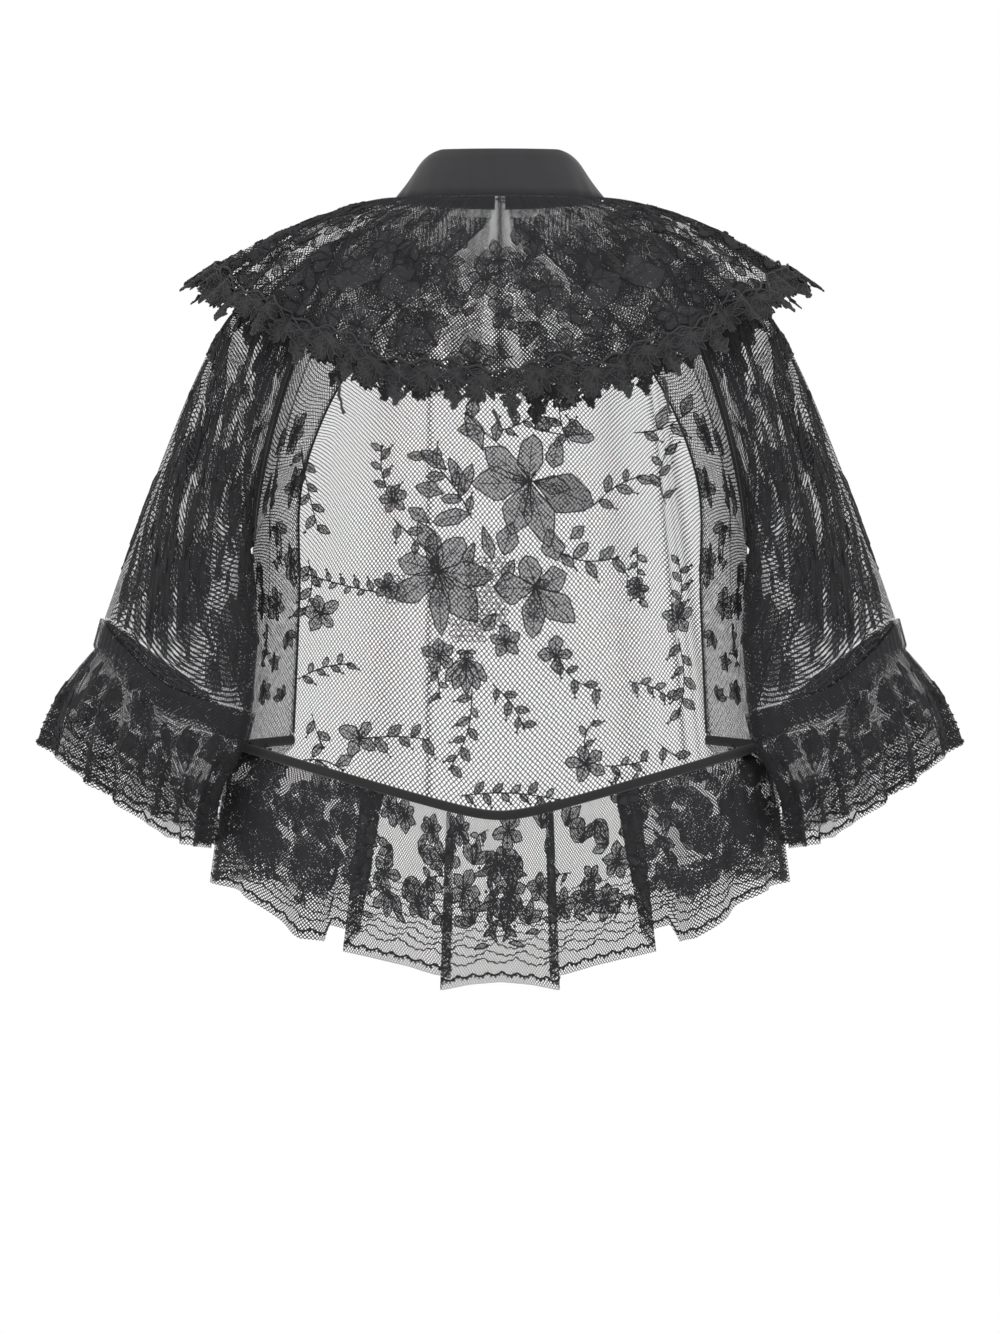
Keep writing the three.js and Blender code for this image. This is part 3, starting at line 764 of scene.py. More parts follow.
def cloth_look(name, dark, light, weave):
    """Plain woven cloth: fine crossing ribs."""
    nodes = Nodes(name)
    place = nodes.tree.nodes.new("ShaderNodeTexCoord").outputs["Object"]
    ribs = []
    for direction in ("X", "Z"):
        wave = nodes.add("ShaderNodeTexWave", Scale=weave, Distortion=0.6, Vector=place)
        wave.bands_direction = direction
        ribs.append(wave.outputs["Fac"])
    height = nodes.math("MULTIPLY", nodes.math("ADD", *ribs), 0.5)
    cloudy = nodes.math("MULTIPLY", nodes.noise(45.0), 0.6)
    nodes.colour(nodes.math("ADD", nodes.math("MULTIPLY", height, 0.4), cloudy), dark, light)
    nodes.bump(height, 0.35, 0.0004)
    nodes.surface(0.85, 0.2, Sheen_Weight=0.25)
    return nodes.material


def cord_look(name, dark, light, scale, roughness=0.7):
    """Twisted thread."""
    nodes = Nodes(name)
    twist = nodes.noise(scale, 3.0)
    nodes.colour(twist, dark, light)
    nodes.bump(twist, 0.5, 0.0003)
    nodes.surface(roughness, 0.3)
    return nodes.material


def elastic_look(name, dark, light):
    """Open braided elastic: bands of web with gaps between them."""
    nodes = Nodes(name)
    place = nodes.tree.nodes.new("ShaderNodeTexCoord").outputs["Object"]
    wave = nodes.add("ShaderNodeTexWave", Scale=260.0, Vector=place)
    wave.bands_direction = "DIAGONAL"
    nodes.put(nodes.shader.inputs["Alpha"], nodes.math("GREATER_THAN", wave.outputs["Fac"], 0.55))
    nodes.colour(nodes.noise(200.0), dark, light)
    nodes.shader.inputs["Roughness"].default_value = 0.85
    return nodes.material


def metal_look(name):
    """Blackened wire."""
    nodes = Nodes(name)
    nodes.colour(nodes.noise(300.0), (0.02, 0.02, 0.022), (0.045, 0.045, 0.048))
    nodes.shader.inputs["Metallic"].default_value = 0.6
    nodes.shader.inputs["Roughness"].default_value = 0.38
    return nodes.material


LOOKS = dict(
    net=net_look("lace_net", NET_PITCH, NET_THREAD, (0.02, 0.02, 0.022), (0.035, 0.035, 0.038)),
    tulle=net_look("lace_ruffle_net", NET_PITCH, NET_THREAD * 1.25,
                   (0.015, 0.015, 0.017), (0.03, 0.03, 0.033)),
    petal=net_look("lace_petal", PETAL_PITCH, 0.4, (0.03, 0.03, 0.033), (0.06, 0.06, 0.064), 1.0),
    dark_petal=net_look("lace_dark_petal", PETAL_PITCH, 0.5,
                        (0.015, 0.015, 0.017), (0.035, 0.035, 0.038), 1.0),
    cord=cord_look("lace_cord", (0.008, 0.008, 0.009), (0.025, 0.025, 0.027), 900.0),
    guipure=net_look("guipure_ground", 1.3, 0.7, (0.008, 0.008, 0.009), (0.02, 0.02, 0.022), 1.0),
    guipure_cord=cord_look("guipure_cord", (0.008, 0.008, 0.009), (0.06, 0.06, 0.063), 700.0, 0.45),
    cloth=cloth_look("collar_cloth", (0.026, 0.026, 0.028), (0.042, 0.042, 0.045), 420.0),
    binding=cloth_look("binding_cloth", (0.012, 0.012, 0.013), (0.025, 0.025, 0.027), 500.0),
    stiffener=cloth_look("stiffener_cloth", (0.02, 0.02, 0.02), (0.05, 0.05, 0.05), 300.0),
    elastic=elastic_look("elastic_web", (0.015, 0.015, 0.016), (0.035, 0.035, 0.036)),
    metal=metal_look("blackened_wire"),
)


# ------ folds and gathers
def folds(u, count, seed):
    """Uneven soft folds round a closed or open edge, about -1..1."""
    rng = random.Random(seed)
    total = np.zeros_like(u)
    for step, weight in ((0, 0.7), (count // 3, 0.35), (-(count // 4), 0.3)):
        total += weight * np.sin(2 * np.pi * ((count + step) * u + rng.random()))
    return total


def ruffled(surface, swing):
    """A surface pushed along its own normal by swing(u, v)."""
    return lambda u, v: surface(u, v) + normals_of(surface, u, v) * np.asarray(swing(u, v))[..., None]


def bend(pieces, joint_body, places, mirror):
    """Bakes each piece's placement into its mesh. The moving body is not used; the two places, or their
    mirrors, are worked out but not used.
    """
    start, end = (tuple(np.array(place) * (mirror * MM, MM, MM)) for place in places)
    for piece in pieces:
        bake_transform(piece)


def settle(piece, nodes=(), body=None):
    """Hides the CAD nodes a piece stands for, and hangs it on the body it rides."""
    if nodes:
        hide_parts(*nodes)
    if body:
        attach(piece, body)
    return piece


def sew_on(art, name, place, look="petal", body=None):
    """Lays a drawing on a cloth. Its pieces ride body, where one is given."""
    return [settle(piece, body=body) for piece in art.make(name, place, look)]


# ------ collar
def collar_profile():
    """Up the outer face, over the rounded edge and down the inner: heights, and depths through the band."""
    heights = np.concatenate([np.linspace(0.0, 0.97, 7), [0.995, 1.0, 0.995], np.linspace(0.97, 0.0, 7)])
    depths = np.concatenate([np.zeros(7), [0.25, 0.5, 0.75], np.ones(7)])
    return heights, depths


def collar_verts(angles, heights, depths):
    """Points on the band, slightly puckered above the neck seam."""
    points = len(heights)
    a, h = np.repeat(angles, points), np.tile(heights, len(angles))
    verts = collar_point(a, h)
    up = collar_point(a, h + 0.01) - collar_point(a, h - 0.01)
    along = collar_point(a + 0.5, h) - collar_point(a - 0.5, h)
    inward = unit(np.cross(along, up))
    centre = verts * np.array([1, 1, 0])
    inward *= -np.sign((inward * centre).sum(-1, keepdims=True))
    inset = np.tile(depths, len(angles)) * COLLAR["thickness"] - 0.45
    pucker = 0.35 * folds(np.repeat(np.linspace(0, 1, len(angles)), points), 26, 3) * (1 - h) ** 2
    uv = np.stack([a * COLLAR["mm_per_degree"], h * COLLAR_CUT[1]], -1)
    return verts + inward * (inset + pucker)[:, None], uv


def make_collar():
    """The stand collar: outer cloth and facing as one folded band with a rounded upper edge."""
    around = 150
    heights, depths = collar_profile()
    verts, uv = collar_verts(np.linspace(-COLLAR["end"], COLLAR["end"], around), heights, depths)
    points = len(heights)
    ends = []
    for first, flip in ((0, False), ((around - 1) * points, True)):
        for low in range(points // 2 - 1):
            quad = [first + low, first + low + 1, first + points - 2 - low, first + points - 1 - low]
            ends.append(quad[::-1] if flip else quad)
    faces = np.vstack([strip_faces(around, points, False, True), ends])
    collar = new_piece("collar", verts, faces, "cloth", uv)
    settle(collar, ("collar_outer", "collar_facing"), "root")


def keep_cad_nodes():
    """The stiffener, elastics and the hooks and eyes stay as their CAD solids, with their own materials."""
    looks = dict(collar_interfacing="stiffener", cuff_elastic_left="elastic", cuff_elastic_right="elastic")
    for index in (1, 2):
        looks[f"collar_hook_{index}"] = "metal"
        looks[f"collar_eye_{index}"] = "metal"
    for node, look in looks.items():
        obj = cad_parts[node]
        obj.data.materials.clear()
        obj.data.materials.append(LOOKS[look])


# ------ yoke ruffle and trim
def yoke_swing(strength):
    """Soft folds that deepen towards the edge, fine gathers by the neck, and a fold down the centre."""
    def swing(u, v):
        v = np.clip(v, 0, 1.2)
        centre = np.exp(-(((u - 0.5) * 2 * YOKE["end"] / 1.7) ** 2))
        soft = (0.35 + 4.6 * v**1.6) * folds(u, *YOKE_GATHERS)
        fine = 0.8 * np.sin(2 * np.pi * 118 * u) * np.exp(-((v - 0.1) ** 2) / 0.05)
        return strength * (soft + fine) * (1 - centre) - 5 * centre * v
    return swing


def yoke_shade_and_density(u, v):
    """Painted shade in the valleys of the gathers, where the net is drawn closer; it is also drawn closer by
    the neck and where it doubles in the fold down the back centre.
    """
    valley_shade = smooth(-folds(u, *YOKE_GATHERS), 0.35, 1.1) * (0.55 - 0.25 * v)
    neck = 0.35 * np.exp(-((v / 0.09) ** 2))
    return valley_shade + neck + 1.2 * np.exp(-(((u - 0.5) * 2 * YOKE["end"]) ** 2))


def yoke_base(u, v):
    """The smooth form, right round from one front end to the other."""
    return yoke_point(-YOKE["end"] + 2 * YOKE["end"] * u, v)


def yoke_art():
    """Butterfly-like blooms spaced round the yoke, with smaller flowers between them."""
    width, length = YOKE_CUT
    art = Lacework(21)
    middle = length * 0.6
    butterflies = [width / 2 + side * offset for side in (-1, 1) for offset in (88, 250, 400)]

    def clear(x, y):
        return y > length * 0.22 and min(math.hypot(x - bx, y - middle) for bx in butterflies) > 24

    art.garden(width, length * 0.94, 24.0, margin=2.0, size=14.0, keep=clear)
    wings = ((0.25, 36, 20), (-0.35, 28, 15), (math.pi - 0.25, 36, 20), (math.pi + 0.35, 28, 15))
    for x in butterflies:
        for turn, reach, breadth in wings:
            art.petal(x, middle, turn, reach, breadth, 0.1)
        art.petal(x, middle, -math.pi / 2, 22, 12)
        art.heart(x, middle, 5)
        art.pebbles(x, length * 0.54, 22, 14, 2.0)
    return art


def make_yoke():
    """The gathered cape collar."""
    surface = ruffled(yoke_base, yoke_swing(1.0))
    yoke = cloth("yoke_ruffle", surface, (620, 30), "net", YOKE_CUT, yoke_shade_and_density)
    settle(yoke, ("yoke_ruffle_back", "yoke_ruffle_left", "yoke_ruffle_right"), "root")
    patterns = sew_on(yoke_art(), "yoke_flowers", laid_on(surface, YOKE_CUT), body="root")


def trim_motif(art, left, low):
    """One repeat of the edging: two rosettes, a fan of feather leaves, and fingers along its edge."""
    art.flower(left, 12 + low, 8.0, 7, 0.3)
    art.flower(left + 2, 22 + low, 6.0, 6, 0.8)
    for k in range(7):
        turn = -0.5 + 0.5 * k
        art.petal(left + 15, 9 + low, turn, 15 - abs(k - 3), 4.6, 0.35, edge=0.6)
        art.petal(left + 20, 17 + low, turn - 0.2, 9.5 - 0.5 * abs(k - 3), 3.6, -0.3, edge=0.55)
    for k in range(6):
        turn = math.pi / 2 + (k - 2.5) * 0.42
        x, y = left + 2 * (k - 2.5), 24 + low
        reach = 6.5 + art.rng.uniform(-1, 1)
        art.petal(x, y, turn, reach, 3.2, 0.0, vein=False, edge=0.6)
        art.bead(x + (reach + 0.8) * math.cos(turn), y + (reach + 0.8) * math.sin(turn), 1.25)


def make_trim():
    """The heavy corded edging, one motif repeated round the yoke along three wavy cords."""
    width = TRIM_CUT[0]
    art = Lacework(5)
    pitch = 34.0
    x = np.arange(0, width, 2.0)
    for y, swing, radius in ((4.5, 1.6, 1.0), (8.0, -2.0, 0.8), (13.0, 2.6, 0.8)):
        art.cord(np.stack([x, y + swing * np.sin(4 * np.pi * x / pitch) + trim_scallop(x)], -1), radius)
    for index in range(int(width / pitch)):
        left = index * pitch + pitch * 0.25
        trim_motif(art, left, float(trim_scallop(left)))
    surface = ruffled(lambda u, v: yoke_base(u, 0.87 + 0.235 * v),
                      lambda u, v: 2.6 + yoke_swing(0.75)(u, 0.95 + 0 * v))
    lobes, cords = art.make("guipure_trim", laid_on(surface, TRIM_CUT), "guipure", "guipure_cord")
    settle(lobes, ("guipure_trim_back", "guipure_trim_left", "guipure_trim_right"), "root")
    settle(cords, body="root")
    for x, reach in ((-113, 26), (113, 26), (-5, 14), (5, 12)):
        hang_sprig(x, reach)


def trim_scallop(x):
    """How far the edging dips at each place along it."""
    turn = 2 * np.pi * np.asarray(x)
    return 2.6 * np.sin(turn / 68.0) + 1.2 * np.sin(turn / 151.0 + 1)


def hang_sprig(x, reach):
    """A loose twig of the trim that hangs a little below it at the back."""
    angle = math.degrees(math.asin(-x / YOKE["half_width"]))
    foot = yoke_point(np.array([float(angle)]), np.array([1.06]))[0]
    rng = random.Random(int(x))
    path = [foot + np.array([rng.uniform(-1, 1) + k * 0.8, -2.5, -reach * k / 6]) for k in range(7)]
    name = f"guipure_sprig_{'left' if x < 0 else 'right'}_{abs(x)}"
    stem = tube(name, path, [1.2] * 4 + [0.9, 0.9, 1.5], "guipure_cord")
    settle(stem, body="root")


# ------ back panel
# Vertical creases: x at mid height, half width, depth, and where down the back each starts.
BACK_FOLDS = ((-37, 2.0, -1.8, 0.2), (90, 3.0, -2.4, 0.0), (108, 4.0, 2.2, 0.0), (60, 9, 1.5, 0))
# Painted shade along the creases, where the net is drawn closer: x at mid height, half width, how much
# closer.
BACK_CREASE_SHADE = ((-37, 1.3, 0.45), (90, 1.6, 0.5), (108, 3.5, 0.35), (100, 1.5, 0.3), (60, 8, 0.12),
                (-60, 10, 0.1))

# The bouquet, in millimetres across and up. Blooms: the centre, then each petal's tip and width.
BLOOMS = [
    ((21, -206), [(-12, -184, 18), (21, -173, 19), (-20, -211, 22), (4, -243, 20), (34, -253, 20)]),
    ((-44, -270), [(-50, -243, 13), (-28, -245, 19), (-72, -261, 17), (-5, -277, 19), (-14, -305, 20),
                   (-42, -316, 14), (-72, -293, 19)]),
    ((25, -281), [(18, -259, 17), (48, -274, 17), (-4, -285, 21), (24, -318, 17), (52, -308, 19)]),
]
# Small flowers: the centre, the size and the number of petals.
SMALL_FLOWERS = [
    (4, -320, 12, 5), (-43, -330, 13, 5), (40, -330, 13, 4), (-81, -281, 10, 5), (-100, -389, 15, 4),
    (61, -407, 14, 5), (-76, -219, 11, 5), (127, -303, 12, 5), (-128, -300, 14, 5), (98, -282, 9, 5),
]
# Leaves: the foot, the tip and the width.
LEAVES = [
    (-12, -184, -22, -157, 11), (-20, -229, -48, -233, 12), (-25, -215, -34, -189, 9),
    (-30, -219, -18, -195, 9),
    (-40, -215, -59, -208, 11), (-38, -198, -55, -183, 10), (9, -235, 1, -258, 15), (34, -240, 39, -263, 15),
    (-12, -238, -7, -262, 8), (-44, -262, -56, -234, 12), (50, -247, 60, -239, 8), (-50, -236, -64, -224, 9),
    (40, -162, 24, -167, 9), (44, -168, 66, -178, 12), (42, -176, 36, -196, 13), (-3, -300, -12, -312, 9),
    (10, -262, 2, -276, 9), (-18, -250, -26, -266, 8),
]
# Twigs: the foot, the tip and the length of a leaf.
TWIGS = [
    ((-88, -285), (-138, -272), 8), ((-144, -347), (-107, -336), 8), ((-94, -389), (-51, -390), 13),
    ((-28, -430), (42, -433), 10), ((-20, -355), (-36, -411), 11), ((-5, -351), (17, -382), 10),
    ((67, -223), (100, -202), 12), ((38, -255), (84, -260), 14), ((40, -330), (71, -355), 11),
    ((92, -349), (121, -361), 8), ((-76, -219), (-84, -181), 10), ((-20, -233), (-56, -186), 14),
    ((2, -182), (-24, -158), 18), ((0, -170), (24, -158), 10), ((50, -180), (42, -152), 12),
    ((96, -171), (134, -156), 16), ((127, -300), (127, -262), 9), ((118, -222), (119, -183), 11),
    ((61, -400), (67, -377), 10), ((75, -409), (104, -405), 10), ((-45, -338), (-43, -360), 9),
    ((-76, -232), (-44, -262), 13), ((-143, -180), (-130, -240), 12), ((-140, -405), (-112, -412), 16),
    ((127, -318), (128, -372), 11), ((66, -172), (30, -170), 15), ((-137, -262), (-140, -300), 12),
    ((98, -250), (100, -292), 8), ((-134, -372), (-126, -396), 12), ((112, -392), (128, -404), 12),
]


def along_crease(u, v, place, width):
    """1 on the line of a crease, which leans a little, and 0 away from it."""
    x = (u - 0.5) * BACK_SPAN
    return np.exp(-(((x - place - 8 * (v - 0.5)) / width) ** 2))


def back_swing(u, v):
    """Soft vertical creases, deeper towards the yoke, and the gathers along the bound hem."""
    total = np.zeros_like(u)
    for place, width, depth, top in BACK_FOLDS:
        total += depth * along_crease(u, v, place, width) * smooth(v, top, top + 0.15)
    total += 0.5 * np.sin(u * 61) * np.sin(v * 9 + u * 7)
    total += 0.9 * np.sin(2 * np.pi * 31 * u) * smooth(v, 0.86, 1.0)
    return total * np.minimum(1, 12 * (1 - v)) * np.minimum(1, 8 * v)


def back_shade_and_density(u, v):
    """Darker towards the sides, and painted shade along the creases, where the net is drawn closer."""
    total = 0.3 * smooth(np.abs((u - 0.5) * BACK_SPAN), 120, 175)
    for place, width, amount in BACK_CREASE_SHADE:
        total = total + amount * along_crease(u, v, place, width)
    return total


def petal_between(art, foot, tip, width, bow):
    """A petal or leaf from one place to another."""
    across, up = tip[0] - foot[0], tip[1] - foot[1]
    art.petal(foot[0], foot[1], math.atan2(up, across), math.hypot(across, up), width, bow)


def back_art():
    """The bouquet down the middle of the back and the twigs round it."""
    art = Lacework(8)
    for centre, petals in BLOOMS:
        for x, z, width in petals:
            petal_between(art, centre, (x, z), width, art.rng.uniform(-0.1, 0.1))
        art.heart(*centre, 4.2)
        art.pebbles(centre[0], centre[1] - 8, 14, 20, 1.7)
    art.pebbles(-8, -262, 30, 50, 2.3)
    art.pebbles(-72, -275, 18, 22, 2.2)
    art.pebbles(-22, -306, 26, 20, 2.3)
    for x, z, size, count in SMALL_FLOWERS:
        art.flower(x, z, size, count, art.rng.uniform(0, 3))
    for x, z, tip_x, tip_z, width in LEAVES:
        petal_between(art, (x, z), (tip_x, tip_z), width, 0.08)
    for k in range(5):
        art.petal(-24, -332, -math.pi / 2 + (k - 2) * 0.36, 26 - 2 * abs(k - 2), 9, 0)
        art.petal(-24, -327, -math.pi / 2 + (k - 2) * 0.7, 7, 3, 0, vein=False)
    for start, end, leaf in TWIGS:
        art.spray(start, end, leaf, art.rng.uniform(-0.15, 0.15))
    return art


def back_dark_art():
    """The few petals that are filled closely."""
    art = Lacework(9)
    art.petal(24, -206, math.atan2(-17, 43), 46, 27, 0.0)
    art.petal(24, -206, math.atan2(-4, 20), 26, 12, 0.0)
    hearts = ((20, -206, 2.9), (-44, -270, 2.0), (-40, -274, -0.9), (25, -281, 0.3), (127, -303, 1.4))
    for x, z, turn in hearts:
        art.petal(x, z, turn, 11, 6, 0)
    return art


def make_back():
    """The back panel, with its bouquet laid on as it is seen from behind."""
    surface = ruffled(back_surface, back_swing)
    back = cloth("back_panel_lace", surface, (380, 190), "net", BACK_CUT, back_shade_and_density)
    settle(back, ("back_panel",), "root")
    place = seen_from_behind(back)
    patterns = sew_on(back_art(), "back_flowers", place, body="root")
    patterns += sew_on(back_dark_art(), "back_dark_petals", place, "dark_petal", "root")


# ------ fronts
def front_swing(u, v):
    """A few soft vertical folds, fading out at the shoulder and the hem."""
    return folds(u, 6, 31) * np.sin(np.pi * np.clip(v, 0, 1)) ** 0.5


def front_density(u, v):
    """Darker along the free edge and towards the side seam."""
    return 0.1 + 0.5 * (u < 0.045) + 0.25 * smooth(u, 0.3, 0.9)


def make_front(side, mirror):
    """One front, with a loose part beside the bound free edge."""
    width, length = FRONT_CUT
    surface = ruffled(FRONT, front_swing)
    front = cloth(f"front_{side}_lace", surface, (110, 150), "net", FRONT_CUT, front_density, mirror)
    settle(front, (f"front_shoulder_{side}", f"front_side_{side}", f"front_panel_{side}"))
    art = Lacework(40)
    art.garden(width * 0.94, length * 0.95, 34.0, margin=14.0, size=15.0)
    patterns = sew_on(art, f"front_{side}_flowers", laid_on(surface, FRONT_CUT, mirror))
    v = np.linspace(0.01, 0.985, 90)
    edge = tube(f"front_edge_{side}", surface(0 * v + 0.002, v), 0.9, "binding", mirror=mirror)
    settle(edge, (f"front_edge_upper_{side}", f"front_edge_lower_{side}"))
    bend([front, edge] + patterns, f"front_{side}", FRONT_BEND, mirror)


def make_armhole(side, mirror):
    """The bound seam round the armhole."""
    path = ring_point(ARMHOLE, np.linspace(0, 360, 91)[:-1])
    seam = tube(f"armhole_{side}", path, 1.5, "binding", closed=True, mirror=mirror)
    settle(seam, (f"armhole_seam_{side}",), "root")


# ------ sleeves and cuffs
def sleeve_form(u, v):
    """The smooth sleeve, once round for u from 0 to 1."""
    return sleeve_tube(u * 360, np.clip(v, 0, 1))


def sleeve_lengths():
    """The sleeve's length down each line round it: the lines and their lengths."""
    turns = np.linspace(0, 1, 37)
    steps = [sleeve_form(turns, 0 * turns + v) for v in np.linspace(0, 1, 13)]
    return turns, sum(np.linalg.norm(b - a, axis=-1) for a, b in zip(steps, steps[1:]))


def sleeve_swing(u, v):
    """Gathers at the head, a crease down the back, and soft folds all round."""
    head = 1.4 * np.sin(2 * np.pi * 46 * u) * smooth(0.12 - v, 0, 0.12)
    crease = 3.0 * np.exp(-(((u * 360 - 76) / 5) ** 2)) * smooth(v, 0.05, 0.4)
    return head - crease + 1.8 * folds(u, 14, 51) * np.sin(np.pi * np.clip(v, 0, 1)) ** 0.7


def sleeve_shade_and_density(u, v):
    """Darker on the inner side of the back: painted shade towards the body, and the cloth lying double
    there.
    """
    return 0.06 + 0.3 * smooth(u * 360, 68, 80) * (1 - smooth(u * 360, 185, 215))


def make_sleeve(side, mirror):
    """One sleeve, with its flowers."""
    turns, lengths = sleeve_lengths()
    width = SLEEVE_CUT[0]

    def length(u):
        return np.interp(np.mod(u, 1), turns, lengths)

    surface = ruffled(sleeve_form, sleeve_swing)
    cut = (width, length)
    sleeve = cloth(f"sleeve_{side}_lace", surface, (200, 110), "tulle", cut, sleeve_shade_and_density, mirror)
    settle(sleeve, (f"sleeve_cap_{side}", f"sleeve_{side}"))
    art = Lacework(60)
    art.garden(width, lengths.max(), 36.0, margin=6.0, size=21.0,
               keep=lambda x, y: y < length(x / width) - 14)
    place = laid_on(surface, cut, mirror, -1.0)
    patterns = sew_on(art, f"sleeve_{side}_flowers", place, "dark_petal")
    bend([sleeve] + patterns, f"sleeve_{side}", SLEEVE_BEND, mirror)


def casing_form(u, v):
    """The ribbed band: down its outer face, round its lower edge and up inside, over the elastic."""
    top, half = 1.4, 2.2
    low = CUFF_BAND - half
    fold_turn = np.clip((v - 0.4) / 0.2, 0, 1) * np.pi
    down = np.where(v < 0.4, top + (low - top) * v / 0.4, low + np.sin(fold_turn) * half)
    down = np.where(v > 0.6, low + (top - low) * (v - 0.6) / 0.4, down)
    ribs = 0.8 * np.sin(2 * np.pi * 58 * u) * np.where(v < 0.5, 1, 0.5)
    return cuff_point(u * 360, down, np.cos(fold_turn) * (half + 0.5) + ribs)


def ruffle_form(u, v):
    """The smooth cuff ruffle, from under the casing to its foot."""
    turn = u * 360
    start = cuff_point(turn, np.full_like(turn, CUFF_BAND + 0.5), 0 * turn)
    foot = ring_point(FOOT_RING, turn)
    away = unit((foot - start) * np.array([1, 1, 0]))
    return mix(start, foot, v) + away * (6 * np.sin(np.clip(v, 0, 1) * np.pi))[..., None]


def ruffle_swing(u, v):
    """Folds that deepen towards the foot, and fine gathers at the head."""
    v = np.clip(v, 0, 1)
    return (0.6 + 6.5 * v**0.8) * folds(u, 19, 71) + 0.6 * np.sin(2 * np.pi * 60 * u) * (1 - v) ** 3


def make_cuff(side, mirror):
    """The casing over the elastic, and the ruffle below it."""
    casing = cloth(f"cuff_{side}_casing", casing_form, (464, 21), "tulle", CASING_CUT,
                   lambda u, v: 0.12 + 0 * u, mirror)
    settle(casing, (f"cuff_casing_{side}",), f"sleeve_{side}")
    surface = ruffled(ruffle_form, ruffle_swing)
    width, length = RUFFLE_CUT
    ruffle = cloth(f"cuff_{side}_ruffle", surface, (420, 44), "tulle", RUFFLE_CUT,
                   lambda u, v: 0.3 - 0.25 * smooth(v, 0.6, 1.0), mirror)
    settle(ruffle, (f"cuff_ruffle_{side}",), f"sleeve_{side}")
    art = Lacework(80)
    art.garden(width, length * 0.62, 22.0, margin=2.0, size=12.0)
    art.waves(width, length * 0.5, length * 0.86, 5, 34.0, 4.0)
    art.picots(width, length - 7, 17.0, 3.0)
    place = laid_on(surface, RUFFLE_CUT, mirror, -1.0)
    patterns = sew_on(art, f"cuff_{side}_flowers", place, "dark_petal", f"sleeve_{side}")


# ------ hem
def pipe_along(name, angles, mirror=1.0):
    """A length of piping round the hem."""
    return tube(name, hem_point(angles, 0.6), 3.5, "binding", squash=0.75, sides=10, mirror=mirror)


def make_piping():
    """The piping that binds the hem: one length behind, and one to each free edge."""
    back = pipe_along("hem_piping_back", np.linspace(-90, 90, 160))
    settle(back, ("hem_binding_back",), "root")
    for side, mirror in SIDES:
        pipe = pipe_along(f"hem_piping_{side}", np.linspace(90.01, FREE_ANGLE, 24), mirror)
        settle(pipe, (f"hem_binding_{side}",))
        bend([pipe], f"front_{side}", HEM_BEND, mirror)


# One half of the back flounce as a folded path: x at the hem, x at the foot, how far out, foot height.
FLOUNCE_PATH = np.array([
    (0, 0, 3.4, -562), (20, 22, 3.4, -564), (37, 41, 3.4, -568), (38, 42, 2.6, -567),
    (33, 36, 1.6, -560), (32, 35, 0.8, -559),
    (42, 46, 0.0, -557), (60, 66, 0.0, -551), (82, 92, 0.0, -545), (98, 111, 0.0, -541),
    (99, 112, -0.8, -541),
    (84, 102, -1.8, -529), (83, 101, -2.6, -528),
    (108, 122, -3.4, -522), (114, 129, -3.4, -534), (127, 143, -3.4, -532), (152, 171, -3.4, -512),
    (168, 189, -3.4, -499), (187, 211, -3.4, -493),
])


def outward_at(turn):
    """The level direction away from the body at this turn, in radians."""
    return column(-np.sin(turn), -np.cos(turn), 0 * turn)


def flounce_back(u, v):
    """The box-pleated back flounce: one folded path at the hem, and a wider one at the foot."""
    side = np.sign(u - 0.5 + 1e-9)
    steps = np.r_[0, np.cumsum(np.hypot(np.diff(FLOUNCE_PATH[:, 1]), np.diff(FLOUNCE_PATH[:, 2])))]
    s = np.abs(u - 0.5) * 2 * steps[-1]
    top_x, foot_x, layer, foot_z = (np.interp(s, steps, FLOUNCE_PATH[:, k]) for k in range(4))
    top_turn = np.arcsin(np.clip(top_x / HEM["half_width"], 0, 1))
    foot_turn = np.arcsin(np.clip(foot_x / FLOUNCE["foot_half_width"], 0, 1))
    top = hem_point(np.degrees(top_turn)) + np.array([0, 0, -2.5])
    share = np.clip(v, 0, 1)
    puff = 0.45 * smooth(share, 0.0, 0.12) + 0.55 * share
    foot_x_line = -FLOUNCE["half_width"] * np.sin(foot_turn)
    foot = column(foot_x_line, -FLOUNCE["half_depth"] * np.cos(foot_turn), foot_z)
    puffed = smooth(top_x, 90, 180)
    outward = puff * puffed + share * (1 - puffed)
    place = top * (1 - outward)[:, None] + foot * outward[:, None]
    place[:, 2] = top[:, 2] * (1 - v) + foot_z * v
    soft = smooth(top_x, 95, 130)
    wave = (1.0 + 3.2 * soft) * folds(u, 17, 91) * v + 0.8 * np.sin(2 * np.pi * 52 * u) * (1 - share) ** 2
    place = place + outward_at(top_turn) * (layer * (0.4 + 0.6 * share) + wave)[:, None]
    place[:, 0] *= -side
    return place


def flounce_side(u, v):
    """The loose front length of the flounce, in gentle waves."""
    angle = 90 + (FREE_ANGLE - 90) * u
    place = flounce_point(angle, 0.45 * smooth(v, 0.0, 0.12) + 0.55 * v)
    top = flounce_point(angle, 0 * v)
    place[:, 2] = top[:, 2] * (1 - v) + FLOUNCE["side_z"] * v
    wave = 4.2 * np.sin(2 * np.pi * (2.2 * u + 0.5)) * v * np.minimum(1, u * 6) - 3.4 * (0.4 + 0.6 * v)
    return place + outward_at(np.radians(angle)) * wave[:, None]


def flounce_art(cut, seed):
    """Flowers above, wavy lines below, and a scalloped picot edge."""
    width, length = cut
    art = Lacework(seed)
    art.garden(width, length * 0.72, 23.0, margin=3.0, size=14.0)
    art.waves(width, length * 0.5, length * 0.86, 9, 31.0, 4.5)
    art.picots(width, length - 8, 13.0, 2.5)
    return art


def flounce_dark_art():
    """Closely filled leaves over the outer pleats, and scrolls down the centre pleat."""
    width, length = FLOUNCE_CUT
    art = Lacework(93)
    art.garden(width, length * 0.74, 19.0, margin=2.0, size=12.0,
               keep=lambda x, y: abs(x - width / 2) > 165)
    art.scrolls(width / 2, length * 0.2, length * 0.62)
    return art


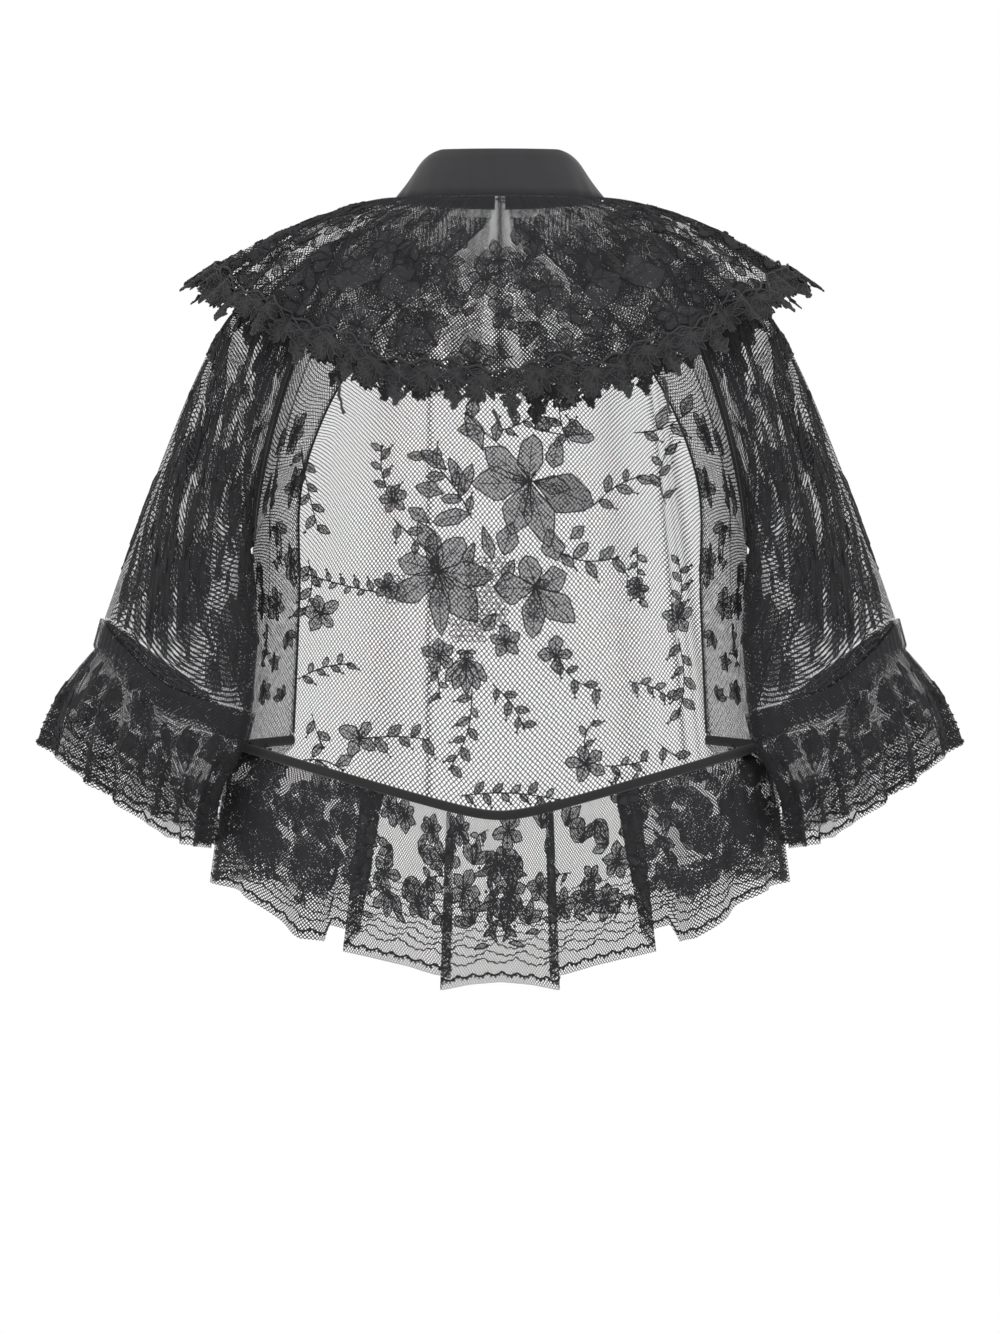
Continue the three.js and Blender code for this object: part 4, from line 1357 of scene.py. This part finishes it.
def flounce_density(u, v):
    """Darker over the outer pleats, above the wavy edge."""
    return 0.5 * smooth(np.abs(u - 0.5), 0.25, 0.33) * (1 - 0.7 * smooth(v, 0.6, 1))


def make_flounce():
    """The hem flounce: the pleated back, and one loose length on each front."""
    back = cloth("hem_flounce_back_lace", flounce_back, (721, 50), "tulle", FLOUNCE_CUT, flounce_density)
    settle(back, ("hem_flounce_back",), "root")
    place = laid_on(flounce_back, FLOUNCE_CUT)
    patterns = sew_on(flounce_art(FLOUNCE_CUT, 90), "flounce_back_flowers", place, body="root")
    patterns += sew_on(flounce_dark_art(), "flounce_back_leaves", place, "dark_petal", "root")
    for side, mirror in SIDES:
        part = cloth(f"hem_flounce_{side}_lace", flounce_side, (90, 44), "tulle", FLOUNCE_SIDE_CUT,
                     lambda u, v: 0.15 + 0 * u, mirror)
        settle(part, (f"hem_flounce_{side}",))
        art = flounce_art(FLOUNCE_SIDE_CUT, 95)
        place = laid_on(flounce_side, FLOUNCE_SIDE_CUT, mirror, -1.0)
        patterns = sew_on(art, f"flounce_{side}_flowers", place)
        bend([part] + patterns, f"front_{side}", HEM_BEND, mirror)


# ------ studio
def add_light(name, place, size, power):
    """A soft round light that faces the garment."""
    data = bpy.data.lights.new(name, "AREA")
    data.shape = "DISK"
    data.size = size
    data.energy = power
    light = bpy.data.objects.new(name, data)
    light.location = place
    light.rotation_euler = (Vector((0, 0, -0.3)) - Vector(place)).to_track_quat("-Z", "Y").to_euler()
    bpy.context.scene.collection.objects.link(light)


def set_studio():
    """A white surround, a pale floor and two soft lights."""
    scene = bpy.context.scene
    world = bpy.data.worlds.new("studio")
    world.use_nodes = True
    world.node_tree.nodes["Background"].inputs["Color"].default_value = (1, 1, 1, 1)
    world.node_tree.nodes["Background"].inputs["Strength"].default_value = 1.0
    scene.world = world
    scene.view_settings.view_transform = "Standard"
    scene.cycles.transparent_max_bounces = 48
    bpy.ops.mesh.primitive_plane_add(size=FLOOR_SIZE, location=(0, 0, FLOOR_Z))
    floor = bpy.context.object
    floor.name = "floor"
    nodes = Nodes("pale_floor")
    nodes.colour(nodes.noise(3.0), (0.86, 0.86, 0.86), (0.9, 0.9, 0.9))
    floor.data.materials.append(nodes.material)
    add_light("key", (-1.6, -2.2, 1.2), 1.6, 14)
    add_light("fill", (1.8, -1.8, 0.4), 1.6, 8)


def set_camera():
    """A level camera straight behind the garment."""
    data = bpy.data.cameras.new("camera")
    data.lens = CAMERA_LENS_MM
    data.sensor_width = SENSOR_WIDTH_MM
    camera = bpy.data.objects.new("camera", data)
    camera.location = CAMERA_PLACE
    camera.rotation_euler = (math.pi / 2, 0, 0)
    bpy.context.scene.collection.objects.link(camera)
    bpy.context.scene.camera = camera


# ------ build
set_camera()
set_studio()
keep_cad_nodes()
make_collar()
make_yoke()
make_trim()
make_back()
for side_name, side_sign in SIDES:
    make_front(side_name, side_sign)
    make_armhole(side_name, side_sign)
    make_sleeve(side_name, side_sign)
    make_cuff(side_name, side_sign)
make_piping()
make_flounce()
